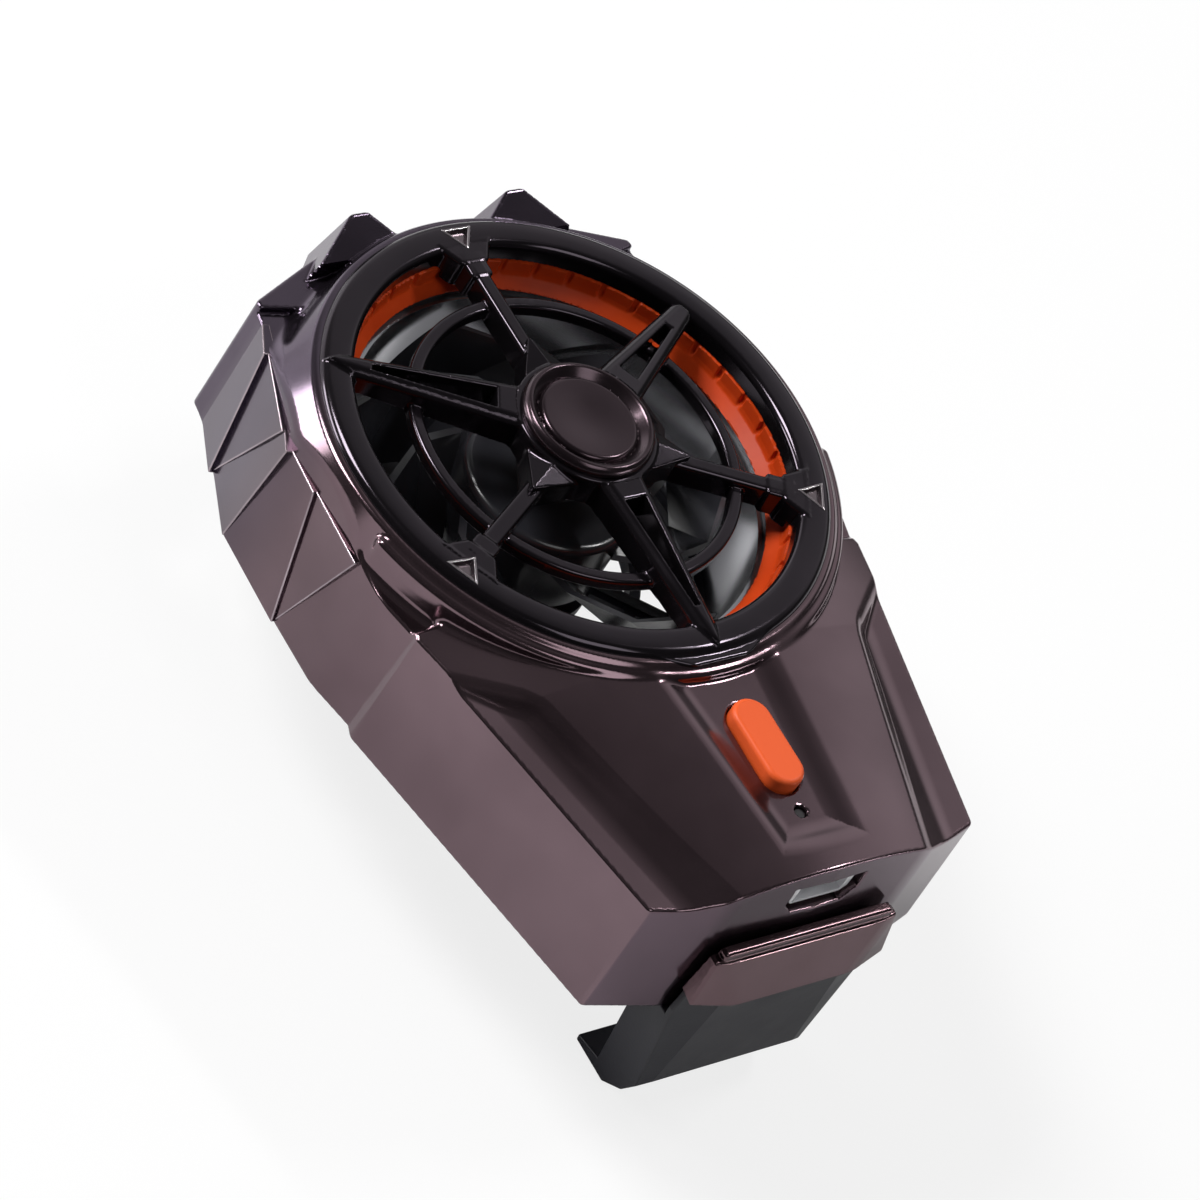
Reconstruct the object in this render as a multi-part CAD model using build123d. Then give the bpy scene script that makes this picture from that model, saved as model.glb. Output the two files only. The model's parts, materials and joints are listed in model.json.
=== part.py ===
from build123d import *
import math
import os

os.makedirs("parts", exist_ok=True)

# A clip-on phone cooling fan, in millimetres.
# Pieces are drawn about the fan axis with z = 0 on the face of the grille ring.
# +Z leaves the grille, +Y points to the fan end and -Y to the socket end.
# place() then lifts every piece so that both claws stand on z = 0.

# Fits and general sizes
wall = 1.8
running_gap = 0.3
snug_gap = 0.15
shaft_gap = 0.05
overrun = 2.0
draft_angle = 2.0
border_angle = 45.0

# Grille ring
ring_radius = 27.5
ring_width = 3.6
ring_height = 2.4
ring_round = 0.6
chin_half_width = 6.6
chin_flat_half_width = 3.5
chin_proud = 0.8

# Hub, spokes and rods of the grille
hub_radius = 7.1
hub_rise = 2.5
hub_rim_width = 1.6
hub_groove_depth = 1.5
disc_radius = 4.9
disc_rise = 1.5
collar_radius = 7.6
collar_height = 1.2
star_reach = 9.7
star_root_half = 3.8
rod_width = 1.9
rod_height = 2.8
rod_drop = 0.2
sword_root_half = 3.3
sword_tip_half = 1.2
sword_tip_start = 24.6
sword_point = 26.7
sword_root_rise = 1.4
sword_tip_rise = 0.5
sword_depth = 2.2
slot_root = 9.0
slot_tip = 22.6
slot_root_half = 1.4
slot_tip_half = 0.35
support_radius = 17.3
support_width = 1.4
support_height = 1.6
support_drop = 1.1
pad_outer_half = 3.3
pad_inner_half = 1.9
pad_reach = 3.0
pad_height = 3.4
triangle_base_radius = 25.8
triangle_apex_radius = 23.1
triangle_half = 1.8
triangle_depth = 0.7

# Casing
body_depth = 20.3
side_margin = 1.95
top_margin = 0.9
lower_length = 25.5
shoulder_drop = 5.0
band_drop = 4.2
plate_proud = 0.6
plate_step = 0.4
waist_inset = 1.3
turret_flare = 1.6
top_flat_half = 15.9
shoulder_half = 24.1
shoulder_fall = 3.5
strip_width = 2.4
strip_inset = 0.3
side_top_reach = 7.5
side_low_reach = 10.4
waist_reach = 15.5
lower_start_gap = 1.1
bottom_corner_half = 21.0
bottom_corner_rise = 2.7
bottom_flat_half = 12.3
bottom_flat_rise = 0.3

# Plates moulded on the upper side walls
plate_groove_front_reach = 18.6
plate_groove_back_reach = 15.9
plate_two_front_reach = 7.0
plate_two_back_reach = 8.5
plate_three_front_reach = -6.8
plate_three_back_reach = -1.9

# Arched front of the socket end
crown_top_drop = 1.2
crown_foot_drop = 1.85
arch_start_reach = 26.5
arch_top_radius = 115.0
arch_foot_radius = 48.0

# Side recesses of the front
recess_apex = (21.2, -27.2)
recess_shoulder = (27.6, -23.4)
recess_shoulder_drop = 5.8
recess_foot = (12.2, -52.3)
recess_foot_drop = 3.6
recess_corner = (20.8, -49.8)
recess_corner_drop = 6.3

# Button panel
panel_top_half = 7.2
panel_foot_half = 4.9
panel_foot_reach = 49.0
panel_depth = 0.95
panel_border = 1.9

# Power button and its light
button_reach = 37.7
button_length = 10.3
button_width = 4.3
button_drop = 1.0
button_edge = 0.5
button_skirt = 3.7
button_flange_width = 0.6
button_flange_height = 0.6
button_travel = 0.5
light_reach = 45.1
light_hole_radius = 0.7
light_pin_drop = 3.0

# Horns on the fan end
horn_root_inner = 5.6
horn_root_outer = 14.2
horn_root_sink = 1.2
horn_tip_inner = 8.6
horn_tip_outer = 11.0
horn_proud = 1.7
horn_drop = 0.3
horn_slope = 2.6

# Fan opening, light ring and duct
opening_radius = 25.2
light_ring_height = 3.0
light_ring_upper_radius = 23.6
light_ring_band = 1.4
light_ring_slope = 0.7
light_ring_lip_radius = 21.7
light_ring_pocket_width = 1.4
light_ring_pocket_depth = 1.0
block_count = 40
block_gap = 0.5
block_depth = 0.35
led_board_thickness = 0.8
led_board_width = 2.2
led_count = 6
led_size = 1.0
led_height = 0.8
duct_radius = 22.0
duct_wall = 1.5
duct_flange = 1.2
duct_strut_width = 2.0

# Rotor and motor
rotor_drop = 7.4
rotor_hub_radius = 9.4
rotor_hub_wall = 0.8
rotor_hub_top = 1.2
rotor_foot_gap = 0.7
blade_count = 7
blade_radius = 21.2
blade_top_gap = 1.0
blade_foot_gap = 0.8
blade_thickness = 0.9
blade_root_sweep = 16.0
blade_tip_sweep = 50.0
magnet_thickness = 0.8
magnet_top_gap = 2.5
stator_gap = 0.4
stator_set_in = 0.7
stator_pole_width = 2.4
stator_tip_thickness = 0.9
stator_tip_angle = 64.0
stator_core_radius = 4.6
coil_thickness = 0.7
shaft_radius = 1.0
bearing_wall = 1.5
bearing_top_gap = 1.5
bearing_tube_wall = 0.7
motor_board_radius = 8.0
motor_board_thickness = 0.8
motor_board_rise = 0.8

# Back cover
cover_thickness = 1.6
vent_hub_radius = 9.6
vent_outer_radius = 21.0
vent_ring_radius = 14.2
vent_rib_width = 1.2
vent_spoke_width = 2.0
vent_spoke_count = 4
cover_boss_radius = 2.3
cover_boss_inset_fan = (3.7, 5.5)
cover_boss_inset_foot = (4.0, 8.5)
screw_radius = 0.9
screw_head_radius = 1.7
screw_head_height = 1.0
screw_length = 6.0
pad_post_radius = 3.6
pad_post_height = 3.4
phone_pad_radius = 2.9
phone_pad_height = 1.6
phone_pad_sink = 0.5
phone_pad_fan = (19.2, 12.6)
phone_pad_foot = (15.0, -37.0)

# Circuit board and what it carries
board_drop = 7.5
board_thickness = 1.2
board_half_width = 13.8
board_end_gap = 1.4
board_length = 20.6
board_screw_inset = (2.3, 2.0)
socket_width = 7.5
socket_height = 2.8
socket_length = 5.6
socket_wall = 0.35
socket_inset = 1.2
socket_opening_top_half = 4.5
socket_opening_foot_half = 3.1
socket_opening_height = 4.0
socket_opening_knee_share = 0.6
tongue_width = 4.2
tongue_thickness = 0.6
switch_size = 5.0
switch_height = 1.4
plunger_radius = 1.0
chip_sizes = ((4.0, 4.0, 0.9), (3.2, 2.6, 1.1), (2.6, 3.6, 1.6))
chip_place_shares = ((0.62, 0.43), (0.58, 0.75), (-0.61, 0.37))
battery_width = 26.0
battery_length = 16.0
battery_foot_gap = 0.8
battery_end_gap = 1.8
battery_round = 1.0
tape_thickness = 0.5

# Sliding clamp
clamp_travel = 15.0
clamp_gap = 0.3
tongue_bar_half = 8.0
tongue_bar_thickness = 1.8
tongue_bar_gap = 1.5
ear_length = 2.4
ear_half = 13.4
ear_height = 4.4
guide_rod_radius = 0.9
guide_rod_half = 11.0
guide_rod_rise = 2.3
guide_post_thickness = 1.4
guide_post_gap = 1.1
guide_post_width = 4.0
spring_radius = 1.9
spring_wall = 0.6
claw_height = 16.9
claw_lip = 3.0
claw_lip_thickness = 0.8
claw_root_depth = 6.2
claw_face_lean = 0.3
arm_drop = 11.6
arm_front_drop = 17.0
arm_top_half = 11.2
arm_hip_half = 12.4
arm_hip_drop = 19.4
arm_foot_half = 9.6
arm_front_half_hip = 7.9
arm_front_half_foot = 9.1
arm_bevel_depth = 1.2
arm_overhang = 1.85
arm_toe_rise = 5.7
arm_heel_rise = 2.2
arm_heel_inset = 1.7
arm_toe_inset = 4.1
tab_top_drop = 10.4
tab_foot_drop = 17.1
tab_half_top = 9.6
tab_half_foot = 8.8
tab_proud_top = 1.0
tab_ledge = 1.2
tab_foot_proud = 0.8
grip_thickness = 1.3
grip_half_width = 8.0
grip_top_gap = 2.1
grip_height = 11.0
grip_rib_count = 8
grip_rib_depth = 0.5

# Fixed claw at the fan end
fixed_claw_inset = 2.4
fixed_claw_thickness = 4.0
fixed_claw_half = 9.6
fixed_foot_thickness = 1.8
fixed_foot_length = 5.1
fixed_screw_half = 6.0
fixed_screw_setback = 3.2

# Leads inside the casing
lead_radius = 0.5
lead_bend = 1.5
lead_clearance = 1.2

# Derived sizes
ring_hole_radius = ring_radius - ring_width
turret_top = -ring_height
back = -body_depth
inner_back = back + cover_thickness
top_reach = ring_radius + top_margin
bottom_reach = ring_radius + lower_length
side_half = ring_radius + side_margin
claw_bottom = back - claw_height
outline_half_span = side_half + overrun
shoulder_reach = top_reach - shoulder_fall
horn_root_reach = top_reach - horn_root_sink
horn_tip_reach = top_reach + horn_proud
cover_boss_fan = (shoulder_half - cover_boss_inset_fan[0], shoulder_reach - cover_boss_inset_fan[1])
cover_boss_foot = (bottom_corner_half - cover_boss_inset_foot[0], cover_boss_inset_foot[1] - bottom_reach)
light_ring_top = turret_top
light_ring_foot = light_ring_top - light_ring_height
led_board_foot = light_ring_foot - led_board_thickness
rotor_top = -rotor_drop
motor_board_foot = inner_back + motor_board_rise
rotor_foot = motor_board_foot + motor_board_thickness + rotor_foot_gap
rotor_hub_height = rotor_top - rotor_foot
blade_height = rotor_top - blade_top_gap - (rotor_foot + blade_foot_gap)
magnet_foot = rotor_foot + running_gap
magnet_height = rotor_top - rotor_hub_top - magnet_top_gap - magnet_foot
stator_height = magnet_height - 2 * stator_set_in
bearing_foot = inner_back + shaft_radius
bearing_top = rotor_top - rotor_hub_top - bearing_top_gap
board_top = -board_drop
board_foot = board_top - board_thickness
board_foot_reach = bottom_reach - wall - board_end_gap
board_head_reach = board_foot_reach - board_length
board_screw = (board_half_width - board_screw_inset[0], -board_head_reach - board_screw_inset[1])
socket_reach = bottom_reach - socket_inset
battery_top = board_foot - tape_thickness
battery_foot_reach = bottom_reach - wall - battery_end_gap
rod_z = inner_back + guide_rod_rise
tongue_bar_foot = inner_back + running_gap
battery_thickness = battery_top - (tongue_bar_foot + ear_height + battery_foot_gap)
tongue_bar_reach = duct_radius + duct_wall + guide_post_thickness + running_gap + tongue_bar_gap
guide_post_reach = bottom_reach - wall - guide_post_gap
slide_stop_reach = bottom_reach + snug_gap
arm_outer_reach = slide_stop_reach + arm_overhang
arm_inner_reach = arm_outer_reach - claw_root_depth
tab_reach = arm_outer_reach + tab_foot_proud
fixed_claw_face_reach = top_reach - fixed_claw_inset
fixed_foot_reach = fixed_claw_face_reach - fixed_foot_length
fixed_screw_reach = fixed_claw_face_reach - fixed_screw_setback

# The model's origin: mid-length, on the surface that the claws stand on
rear_end = max(top_reach, horn_tip_reach)
origin_shift = (tab_reach - rear_end) / 2


def place(shape):
    """From the fan axis and ring face to the model's own frame."""
    return Pos(0, origin_shift, -claw_bottom) * shape


def write(shape, node):
    """One node's file."""
    export_step(place(shape), "parts/" + node + ".step")


def group(shapes):
    """Separate solids that share one node."""
    return Compound(children=list(shapes))


def flat(points):
    """A plan face through points given as (x, y)."""
    return make_face(Polyline(*points, close=True))


def block(low, high):
    """A box between two corners."""
    size = [b - a for a, b in zip(low, high)]
    middle = [(a + b) / 2 for a, b in zip(low, high)]
    return Pos(*middle) * Box(*size)


def disc(radius, low, high, x=0, y=0):
    """An upright cylinder between two heights."""
    return Pos(x, y, (low + high) / 2) * Cylinder(radius, high - low)


def tube(outer, inner, low, high, x=0, y=0):
    """An upright tube between two heights."""
    return disc(outer, low, high, x, y) - disc(inner, low - overrun, high + overrun, x, y)


def both_sides(shape):
    """The shape and its mirror image across x = 0."""
    return [shape, mirror(shape, about=Plane.YZ)]


def side_prism(points, half_width):
    """A profile given as (y, z), extruded alike to both sides of x = 0."""
    face = make_face(Polyline(*[(0, y, z) for y, z in points], close=True))
    return extrude(face, amount=half_width, both=True)


def front_prism(points, near, far):
    """A profile given as (x, z), extruded from y = near to y = far."""
    face = make_face(Polyline(*[(x, near, z) for x, z in points], close=True))
    return extrude(face, amount=far - near, dir=(0, 1, 0))


def ring_profile(points):
    """A profile given as (radius, z), turned about the fan axis."""
    face = make_face(Polyline(*[(r, 0, z) for r, z in points], close=True))
    return revolve(face, axis=Axis.Z)


def at_angle(shape, angle):
    return Rot(0, 0, angle) * shape


# Casing

def outline(inset=0.0):
    """The plan of the casing at its back edge."""
    strip_end = shoulder_reach - strip_width
    right = [
        (top_flat_half, top_reach),
        (shoulder_half, shoulder_reach),
        (shoulder_half + strip_inset, strip_end),
        (side_half, side_top_reach),
        (side_half, -side_low_reach),
        (side_half - waist_inset, -waist_reach),
        (side_half - waist_inset + plate_step, -waist_reach - lower_start_gap),
        (bottom_corner_half, -bottom_reach + bottom_corner_rise),
        (bottom_flat_half, -bottom_reach + bottom_flat_rise),
        (0, -bottom_reach),
    ]
    left = [(-x, y) for x, y in reversed(right[:-1])]
    face = flat(list(reversed(right + left)))
    if inset:
        face = offset(face, amount=-inset, kind=Kind.INTERSECTION)
    return face


def arch_section(y, crown, radius, drop):
    """A section across the socket end: an arch over straight sides."""
    half = outline_half_span
    sag = radius - math.sqrt(radius * radius - half * half)
    crown_z = -crown - drop
    low = back - overrun
    arch = ThreePointArc((-half, y, crown_z - sag), (0, y, crown_z), (half, y, crown_z - sag))
    sides = Polyline((half, y, crown_z - sag), (half, y, low), (-half, y, low), (-half, y, crown_z - sag))
    return make_face([arch, sides])


def crowned_end(drop):
    """The arched front of the socket end, as a solid down past the back."""
    head = arch_section(-waist_reach + overrun, crown_top_drop, arch_top_radius, drop)
    neck = arch_section(-arch_start_reach, crown_top_drop, arch_top_radius, drop)
    foot = arch_section(-bottom_reach - overrun, crown_foot_drop, arch_foot_radius, drop)
    arched = loft([head, neck], ruled=True) + loft([neck, foot], ruled=True)
    trim = block(
        (-outline_half_span, -bottom_reach - overrun, back - overrun),
        (outline_half_span, -waist_reach + snug_gap, 0),
    )
    return arched & trim


def recess_height(x, y):
    """The height of a side recess's floor, a plane through its three named corners."""
    ax, ay = recess_foot
    bx, by = recess_corner
    cx, cy = recess_shoulder
    az, bz, cz = -recess_foot_drop, -recess_corner_drop, -recess_shoulder_drop
    det = (bx - ax) * (cy - ay) - (cx - ax) * (by - ay)
    slope_x = ((bz - az) * (cy - ay) - (cz - az) * (by - ay)) / det
    slope_y = ((bx - ax) * (cz - az) - (cx - ax) * (bz - az)) / det
    return az + slope_x * (x - ax) + slope_y * (y - ay)


def recess_cut(inset):
    """What is cut from one side of the front above the recess floor."""
    ax, ay = recess_apex
    fx, fy = recess_foot
    sx, sy = recess_shoulder
    run_x = (fx - ax) / (fy - ay)
    rise_y = (sy - ay) / (sx - ax)
    far_y = -bottom_reach - overrun
    far_x = side_half + overrun
    plan = [
        (ax - inset, ay + inset * (1 + rise_y)),
        (ax + run_x * (far_y - ay) - inset, far_y),
        (far_x, far_y),
        (far_x, sy + rise_y * (far_x - sx) + inset),
    ]
    corners = [(x, y, recess_height(x, y) - inset) for x, y in plan]
    face = make_face(Polyline(*corners, close=True)).face()
    if face.normal_at().Z < 0:
        face = -face
    return extrude(face, amount=recess_corner_drop, taper=-border_angle)


def panel_cut(inset):
    """What is cut from the front above the button panel's floor."""
    head_y = -ring_radius + overrun
    foot_y = -panel_foot_reach + panel_border
    head_half = panel_top_half - panel_border + inset
    foot_half = panel_foot_half - panel_border + inset
    floor_head = -crown_top_drop - panel_depth - inset
    floor_foot = -crown_foot_drop - panel_depth - inset
    corners = [
        (-head_half, head_y, floor_head),
        (-foot_half, foot_y - inset, floor_foot),
        (foot_half, foot_y - inset, floor_foot),
        (head_half, head_y, floor_head),
    ]
    face = make_face(Polyline(*corners, close=True)).face()
    if face.normal_at().Z < 0:
        face = -face
    spread = math.degrees(math.atan2(panel_border, panel_depth))
    return extrude(face, amount=panel_depth + overrun / 2, taper=-spread)


def body_form(inset):
    """The casing's outer form, or the same form drawn in by a wall."""
    drawn_in = body_depth * math.tan(math.radians(draft_angle))
    prism = loft([Pos(0, 0, back) * outline(inset), outline(inset + drawn_in)], ruled=True)
    shoulder = block(
        (-outline_half_span, -waist_reach, back - overrun),
        (outline_half_span, rear_end, -shoulder_drop - inset),
    )
    band_edge = shoulder_reach - strip_width
    band = block(
        (-outline_half_span, band_edge, back - overrun),
        (outline_half_span, rear_end, -band_drop - inset),
    )
    form = (prism & shoulder) + (prism & band) + (prism & crowned_end(inset))
    form -= recess_cut(inset)
    form -= mirror(recess_cut(inset), about=Plane.YZ)
    form -= panel_cut(inset)
    return form


def side_plate(start_y, front_y, back_y, proud):
    """A shingle on the right side wall: flush at start_y, proud at its lower edge."""
    low_y = min(front_y, back_y)
    corner_y = side_top_reach
    slope = (side_half - shoulder_half - strip_inset) / (shoulder_reach - strip_width - corner_y)

    def wall_x(y):
        return side_half - max(0, y - corner_y) * slope

    points = [(wall_x(start_y), start_y)]
    if start_y > corner_y > low_y:
        share = (start_y - corner_y) / (start_y - low_y)
        points.append((side_half + proud * share, corner_y))
    points.append((wall_x(low_y) + proud, low_y))
    points.append((wall_x(low_y) - wall, low_y))
    points.append((wall_x(start_y) - wall, start_y))
    height = body_depth - shoulder_drop
    plate = extrude(Pos(0, 0, back) * flat(points), amount=height, taper=0)
    far = side_half + overrun
    cutter = make_face(Polyline(
        (far, front_y, -shoulder_drop + overrun),
        (far, back_y, back - overrun),
        (far, low_y - wall * overrun, back - overrun),
        (far, low_y - wall * overrun, -shoulder_drop + overrun),
        close=True,
    ))
    return plate - extrude(cutter, amount=far / 2, dir=(-1, 0, 0))


def side_plates():
    """The three overlapping plates of the right side wall."""
    strip_end = shoulder_reach - strip_width
    first = side_plate(strip_end, plate_groove_front_reach, plate_groove_back_reach, plate_proud)
    second = side_plate(plate_groove_back_reach, plate_two_front_reach, plate_two_back_reach, plate_proud)
    third = side_plate(plate_two_front_reach, plate_three_front_reach, plate_three_back_reach, plate_proud)
    return [first, second, third]


def turret():
    """The flared skirt that carries the grille ring."""
    skirt = ring_profile([
        (0, back + overrun),
        (ring_radius + turret_flare, back + overrun),
        (ring_radius + turret_flare, -shoulder_drop),
        (ring_radius, turret_top),
        (0, turret_top),
    ])
    inside = extrude(Pos(0, 0, back) * outline(), amount=body_depth)
    return skirt & inside


def horn():
    """One of the two horns, on the right."""
    plan = flat([
        (horn_root_inner, horn_root_reach),
        (horn_tip_inner, horn_tip_reach),
        (horn_tip_outer, horn_tip_reach),
        (horn_root_outer, horn_root_reach),
    ])
    low = -shoulder_drop - wall
    solid = extrude(Pos(0, 0, low) * plan, amount=-horn_drop - low)
    slope = side_prism([
        (horn_root_reach - overrun, -horn_drop - horn_slope),
        (horn_tip_reach - ring_round, -horn_drop),
        (horn_tip_reach - ring_round, overrun),
        (horn_root_reach - overrun, overrun),
    ], outline_half_span)
    return solid - slope


def stadium(length, width, low, high, y):
    """An upright oblong with round ends, along Y."""
    plan = SlotOverall(length, width, rotation=90)
    return extrude(Pos(0, -y, low) * plan, amount=high - low)


def socket_hole():
    """The opening for the charging plug, wide side towards the front."""
    top = -board_drop + socket_height + (socket_opening_height - socket_height) / 2
    foot = top - socket_opening_height
    knee = top - socket_opening_height * socket_opening_knee_share
    points = [
        (-socket_opening_top_half, top),
        (socket_opening_top_half, top),
        (socket_opening_top_half, knee),
        (socket_opening_foot_half, foot),
        (-socket_opening_foot_half, foot),
        (-socket_opening_top_half, knee),
    ]
    return front_prism(points, -bottom_reach - overrun, -bottom_reach + wall + overrun)


def cover_boss_places():
    """Where the four cover screws stand."""
    places = []
    for x, y in (cover_boss_fan, cover_boss_foot):
        places.append((x, y))
        places.append((-x, y))
    return places


def board_screw_places():
    x, y = board_screw
    return [(x, y), (-x, y)]


def front_shell():
    """The plated casing: walls, shoulders, arched socket end, turret and horns."""
    shell = body_form(0)
    for plate in side_plates():
        for side in both_sides(plate):
            shell += side
    shell += turret()
    for side in both_sides(horn()):
        shell += side
    shell -= body_form(wall)
    shell -= disc(opening_radius, back - overrun, overrun)
    shell -= disc(ring_radius + snug_gap, turret_top, overrun)
    inner = body_form(wall)
    bosses = []
    for x, y in cover_boss_places():
        bosses.append(disc(cover_boss_radius, inner_back, -crown_top_drop, x, y))
    for x, y in board_screw_places():
        bosses.append(disc(cover_boss_radius, board_top, -crown_top_drop, x, y))
    for boss in bosses:
        shell += boss & (inner + Pos(0, 0, wall / 2) * inner)
    for x, y in cover_boss_places():
        shell -= disc(screw_radius, inner_back - overrun, inner_back + screw_length, x, y)
    for x, y in board_screw_places():
        shell -= disc(screw_radius, board_top - overrun, board_top + overrun, x, y)
    shell -= disc(light_hole_radius, -body_depth / 2, overrun, 0, -light_reach)
    shell -= stadium(
        button_length + 2 * snug_gap, button_width + 2 * snug_gap, -shoulder_drop - overrun, overrun, button_reach
    )
    shell -= socket_hole()
    shell -= block(
        (-tongue_bar_half - snug_gap, -bottom_reach - overrun, tongue_bar_foot - snug_gap),
        (tongue_bar_half + snug_gap, -bottom_reach + wall * overrun, tongue_bar_foot + tongue_bar_thickness + snug_gap),
    )
    return shell


# Grille

def sword():
    """One wide spoke along +X, with its slot."""
    plan = flat([
        (0, sword_root_half),
        (sword_tip_start, sword_tip_half),
        (sword_point, 0),
        (sword_tip_start, -sword_tip_half),
        (0, -sword_root_half),
    ])
    slot = flat([
        (slot_root, slot_root_half),
        (slot_tip, slot_tip_half),
        (slot_tip, -slot_tip_half),
        (slot_root, -slot_root_half),
    ])
    low = -sword_depth
    solid = extrude(Pos(0, 0, low) * plan, amount=sword_root_rise - low)
    solid -= extrude(Pos(0, 0, low - overrun) * slot, amount=sword_depth + overrun * 2 + sword_root_rise)
    fall = (sword_root_rise - sword_tip_rise) / (sword_point - collar_radius)
    top = make_face(Polyline(
        (0, 0, sword_root_rise + fall * collar_radius),
        (sword_point + overrun, 0, sword_tip_rise - fall * overrun),
        (sword_point + overrun, 0, hub_rise + overrun),
        (0, 0, hub_rise + overrun),
        close=True,
    ))
    return solid - extrude(top, amount=sword_root_half + overrun, both=True)


def rod():
    """One thin rod along +X, with its pad, triangle and star point."""
    top = -rod_drop
    bar = block((0, -rod_width / 2, top - rod_height), (ring_hole_radius, rod_width / 2, top))
    pad_start = ring_hole_radius - pad_reach
    pad = flat([
        (pad_start, pad_inner_half),
        (ring_hole_radius + ring_width / 2, pad_outer_half + ring_width / 2),
        (ring_hole_radius + ring_width / 2, -pad_outer_half - ring_width / 2),
        (pad_start, -pad_inner_half),
    ])
    star = flat([(0, star_root_half + rod_width), (star_reach, 0), (0, -star_root_half - rod_width)])
    solid = bar + extrude(Pos(0, 0, -pad_height) * pad, amount=pad_height)
    solid += extrude(Pos(0, 0, top - rod_height) * star, amount=rod_height + rod_drop)
    keep = disc(ring_radius - ring_round, -pad_height - overrun, overrun)
    return solid & keep


def triangle():
    """The small sunk triangle on the ring beyond each rod."""
    plan = flat([
        (triangle_base_radius, triangle_half),
        (triangle_base_radius, -triangle_half),
        (triangle_apex_radius, 0),
    ])
    return extrude(Pos(0, 0, -triangle_depth) * plan, amount=triangle_depth + overrun)


def fan_grille():
    """Ring, three wide spokes, three rods, the support ring and the hub collar in one moulding."""
    ring = tube(ring_radius, ring_hole_radius, -ring_height, 0)
    chin = flat([
        (-chin_half_width, -ring_radius + chin_proud),
        (-chin_flat_half_width, -ring_radius - chin_proud),
        (chin_flat_half_width, -ring_radius - chin_proud),
        (chin_half_width, -ring_radius + chin_proud),
    ])
    ring += extrude(Pos(0, 0, -crown_top_drop + snug_gap) * chin, amount=crown_top_drop - ring_round)
    support_outer = support_radius + support_width / 2
    support_inner = support_radius - support_width / 2
    grille = ring + tube(support_outer, support_inner, -support_drop - support_height, -support_drop)
    keep_out = disc(light_ring_upper_radius - snug_gap, -body_depth, -ring_height)
    for k in range(3):
        grille += at_angle(sword(), 30 + 120 * k)
        grille += at_angle(rod(), 90 + 120 * k)
    below = disc(ring_radius + overrun, -body_depth, -ring_height) - keep_out
    grille -= below
    for k in range(3):
        grille -= at_angle(triangle(), 90 + 120 * k)
    grille -= disc(collar_radius, collar_height, hub_rise)
    grille += disc(collar_radius, -sword_depth, collar_height)
    grille -= disc(hub_radius - hub_rim_width, -sword_depth + wall / 2, hub_rise)
    return grille


def hub_cap():
    """The round cap on the hub: a rolled rim, a groove and a dished disc."""
    seat_radius = hub_radius - hub_rim_width - snug_gap
    rim_middle = hub_radius - hub_rim_width / 2
    dish = disc_radius * disc_radius / (2 * hub_rise)
    stem = disc(seat_radius, -sword_depth + wall / 2, collar_height)
    flange = disc(hub_radius, collar_height, hub_rise)
    cap = stem + fillet(flange.edges().group_by(Axis.Z)[-1], hub_rim_width / 3)
    cap -= tube(rim_middle - hub_rim_width / 3, disc_radius, hub_rise - hub_groove_depth / 2, hub_rise + overrun)
    cap -= disc(disc_radius + snug_gap, disc_rise, hub_rise + overrun)
    cap -= Pos(0, 0, disc_rise + dish - hub_groove_depth / 4) * Sphere(dish)
    return cap


# Light ring and duct

def light_ring():
    """The orange ring under the grille: a banded wall over a sloped lip, hollow beneath for the lights."""
    outer = opening_radius - snug_gap
    band_foot = light_ring_top - light_ring_band
    slope_foot = band_foot - light_ring_slope
    ring = ring_profile([
        (outer, light_ring_top),
        (light_ring_upper_radius, light_ring_top),
        (light_ring_upper_radius, band_foot),
        (light_ring_lip_radius, slope_foot),
        (light_ring_lip_radius, light_ring_foot),
        (outer, light_ring_foot),
    ])
    middle = (light_ring_upper_radius + outer) / 2 - light_ring_pocket_width / 4
    pocket_half = light_ring_pocket_width / 2
    ring -= tube(middle + pocket_half, middle - pocket_half, light_ring_foot - overrun, light_ring_foot + light_ring_pocket_depth)
    notch = block(
        (light_ring_upper_radius - overrun, -block_gap / 2, band_foot + block_depth),
        (light_ring_upper_radius + block_depth, block_gap / 2, light_ring_top + overrun),
    )
    for k in range(block_count):
        ring -= at_angle(notch, 360 * k / block_count)
    return ring


def led_ring_middle():
    outer = opening_radius - snug_gap
    return (light_ring_upper_radius + outer) / 2 - light_ring_pocket_width / 4


def led_board():
    """The thin ring board under the light ring."""
    outer = opening_radius - snug_gap
    return tube(outer, outer - led_board_width, led_board_foot, light_ring_foot)


def ring_leds():
    """The small lights on the ring board."""
    radius = led_ring_middle()
    lamp = block(
        (radius - led_size / 2, -led_size / 2, light_ring_foot),
        (radius + led_size / 2, led_size / 2, light_ring_foot + led_height),
    )
    return group([at_angle(lamp, 360 * k / led_count) for k in range(led_count)])


def fan_duct():
    """The black duct round the blades, from the ring board to the back cover."""
    top = led_board_foot
    outer = duct_radius + duct_wall
    duct = disc(outer, inner_back, top) + disc(opening_radius - snug_gap, top - duct_flange, top)
    duct -= disc(duct_radius, inner_back - overrun, top + overrun)
    notch = block(
        (duct_radius - overrun, -2 * lead_radius, inner_back - overrun),
        (outer + overrun, 2 * lead_radius, inner_back + 4 * lead_radius),
    )
    return duct - at_angle(notch, lead_angle)


# Rotor and motor

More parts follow.
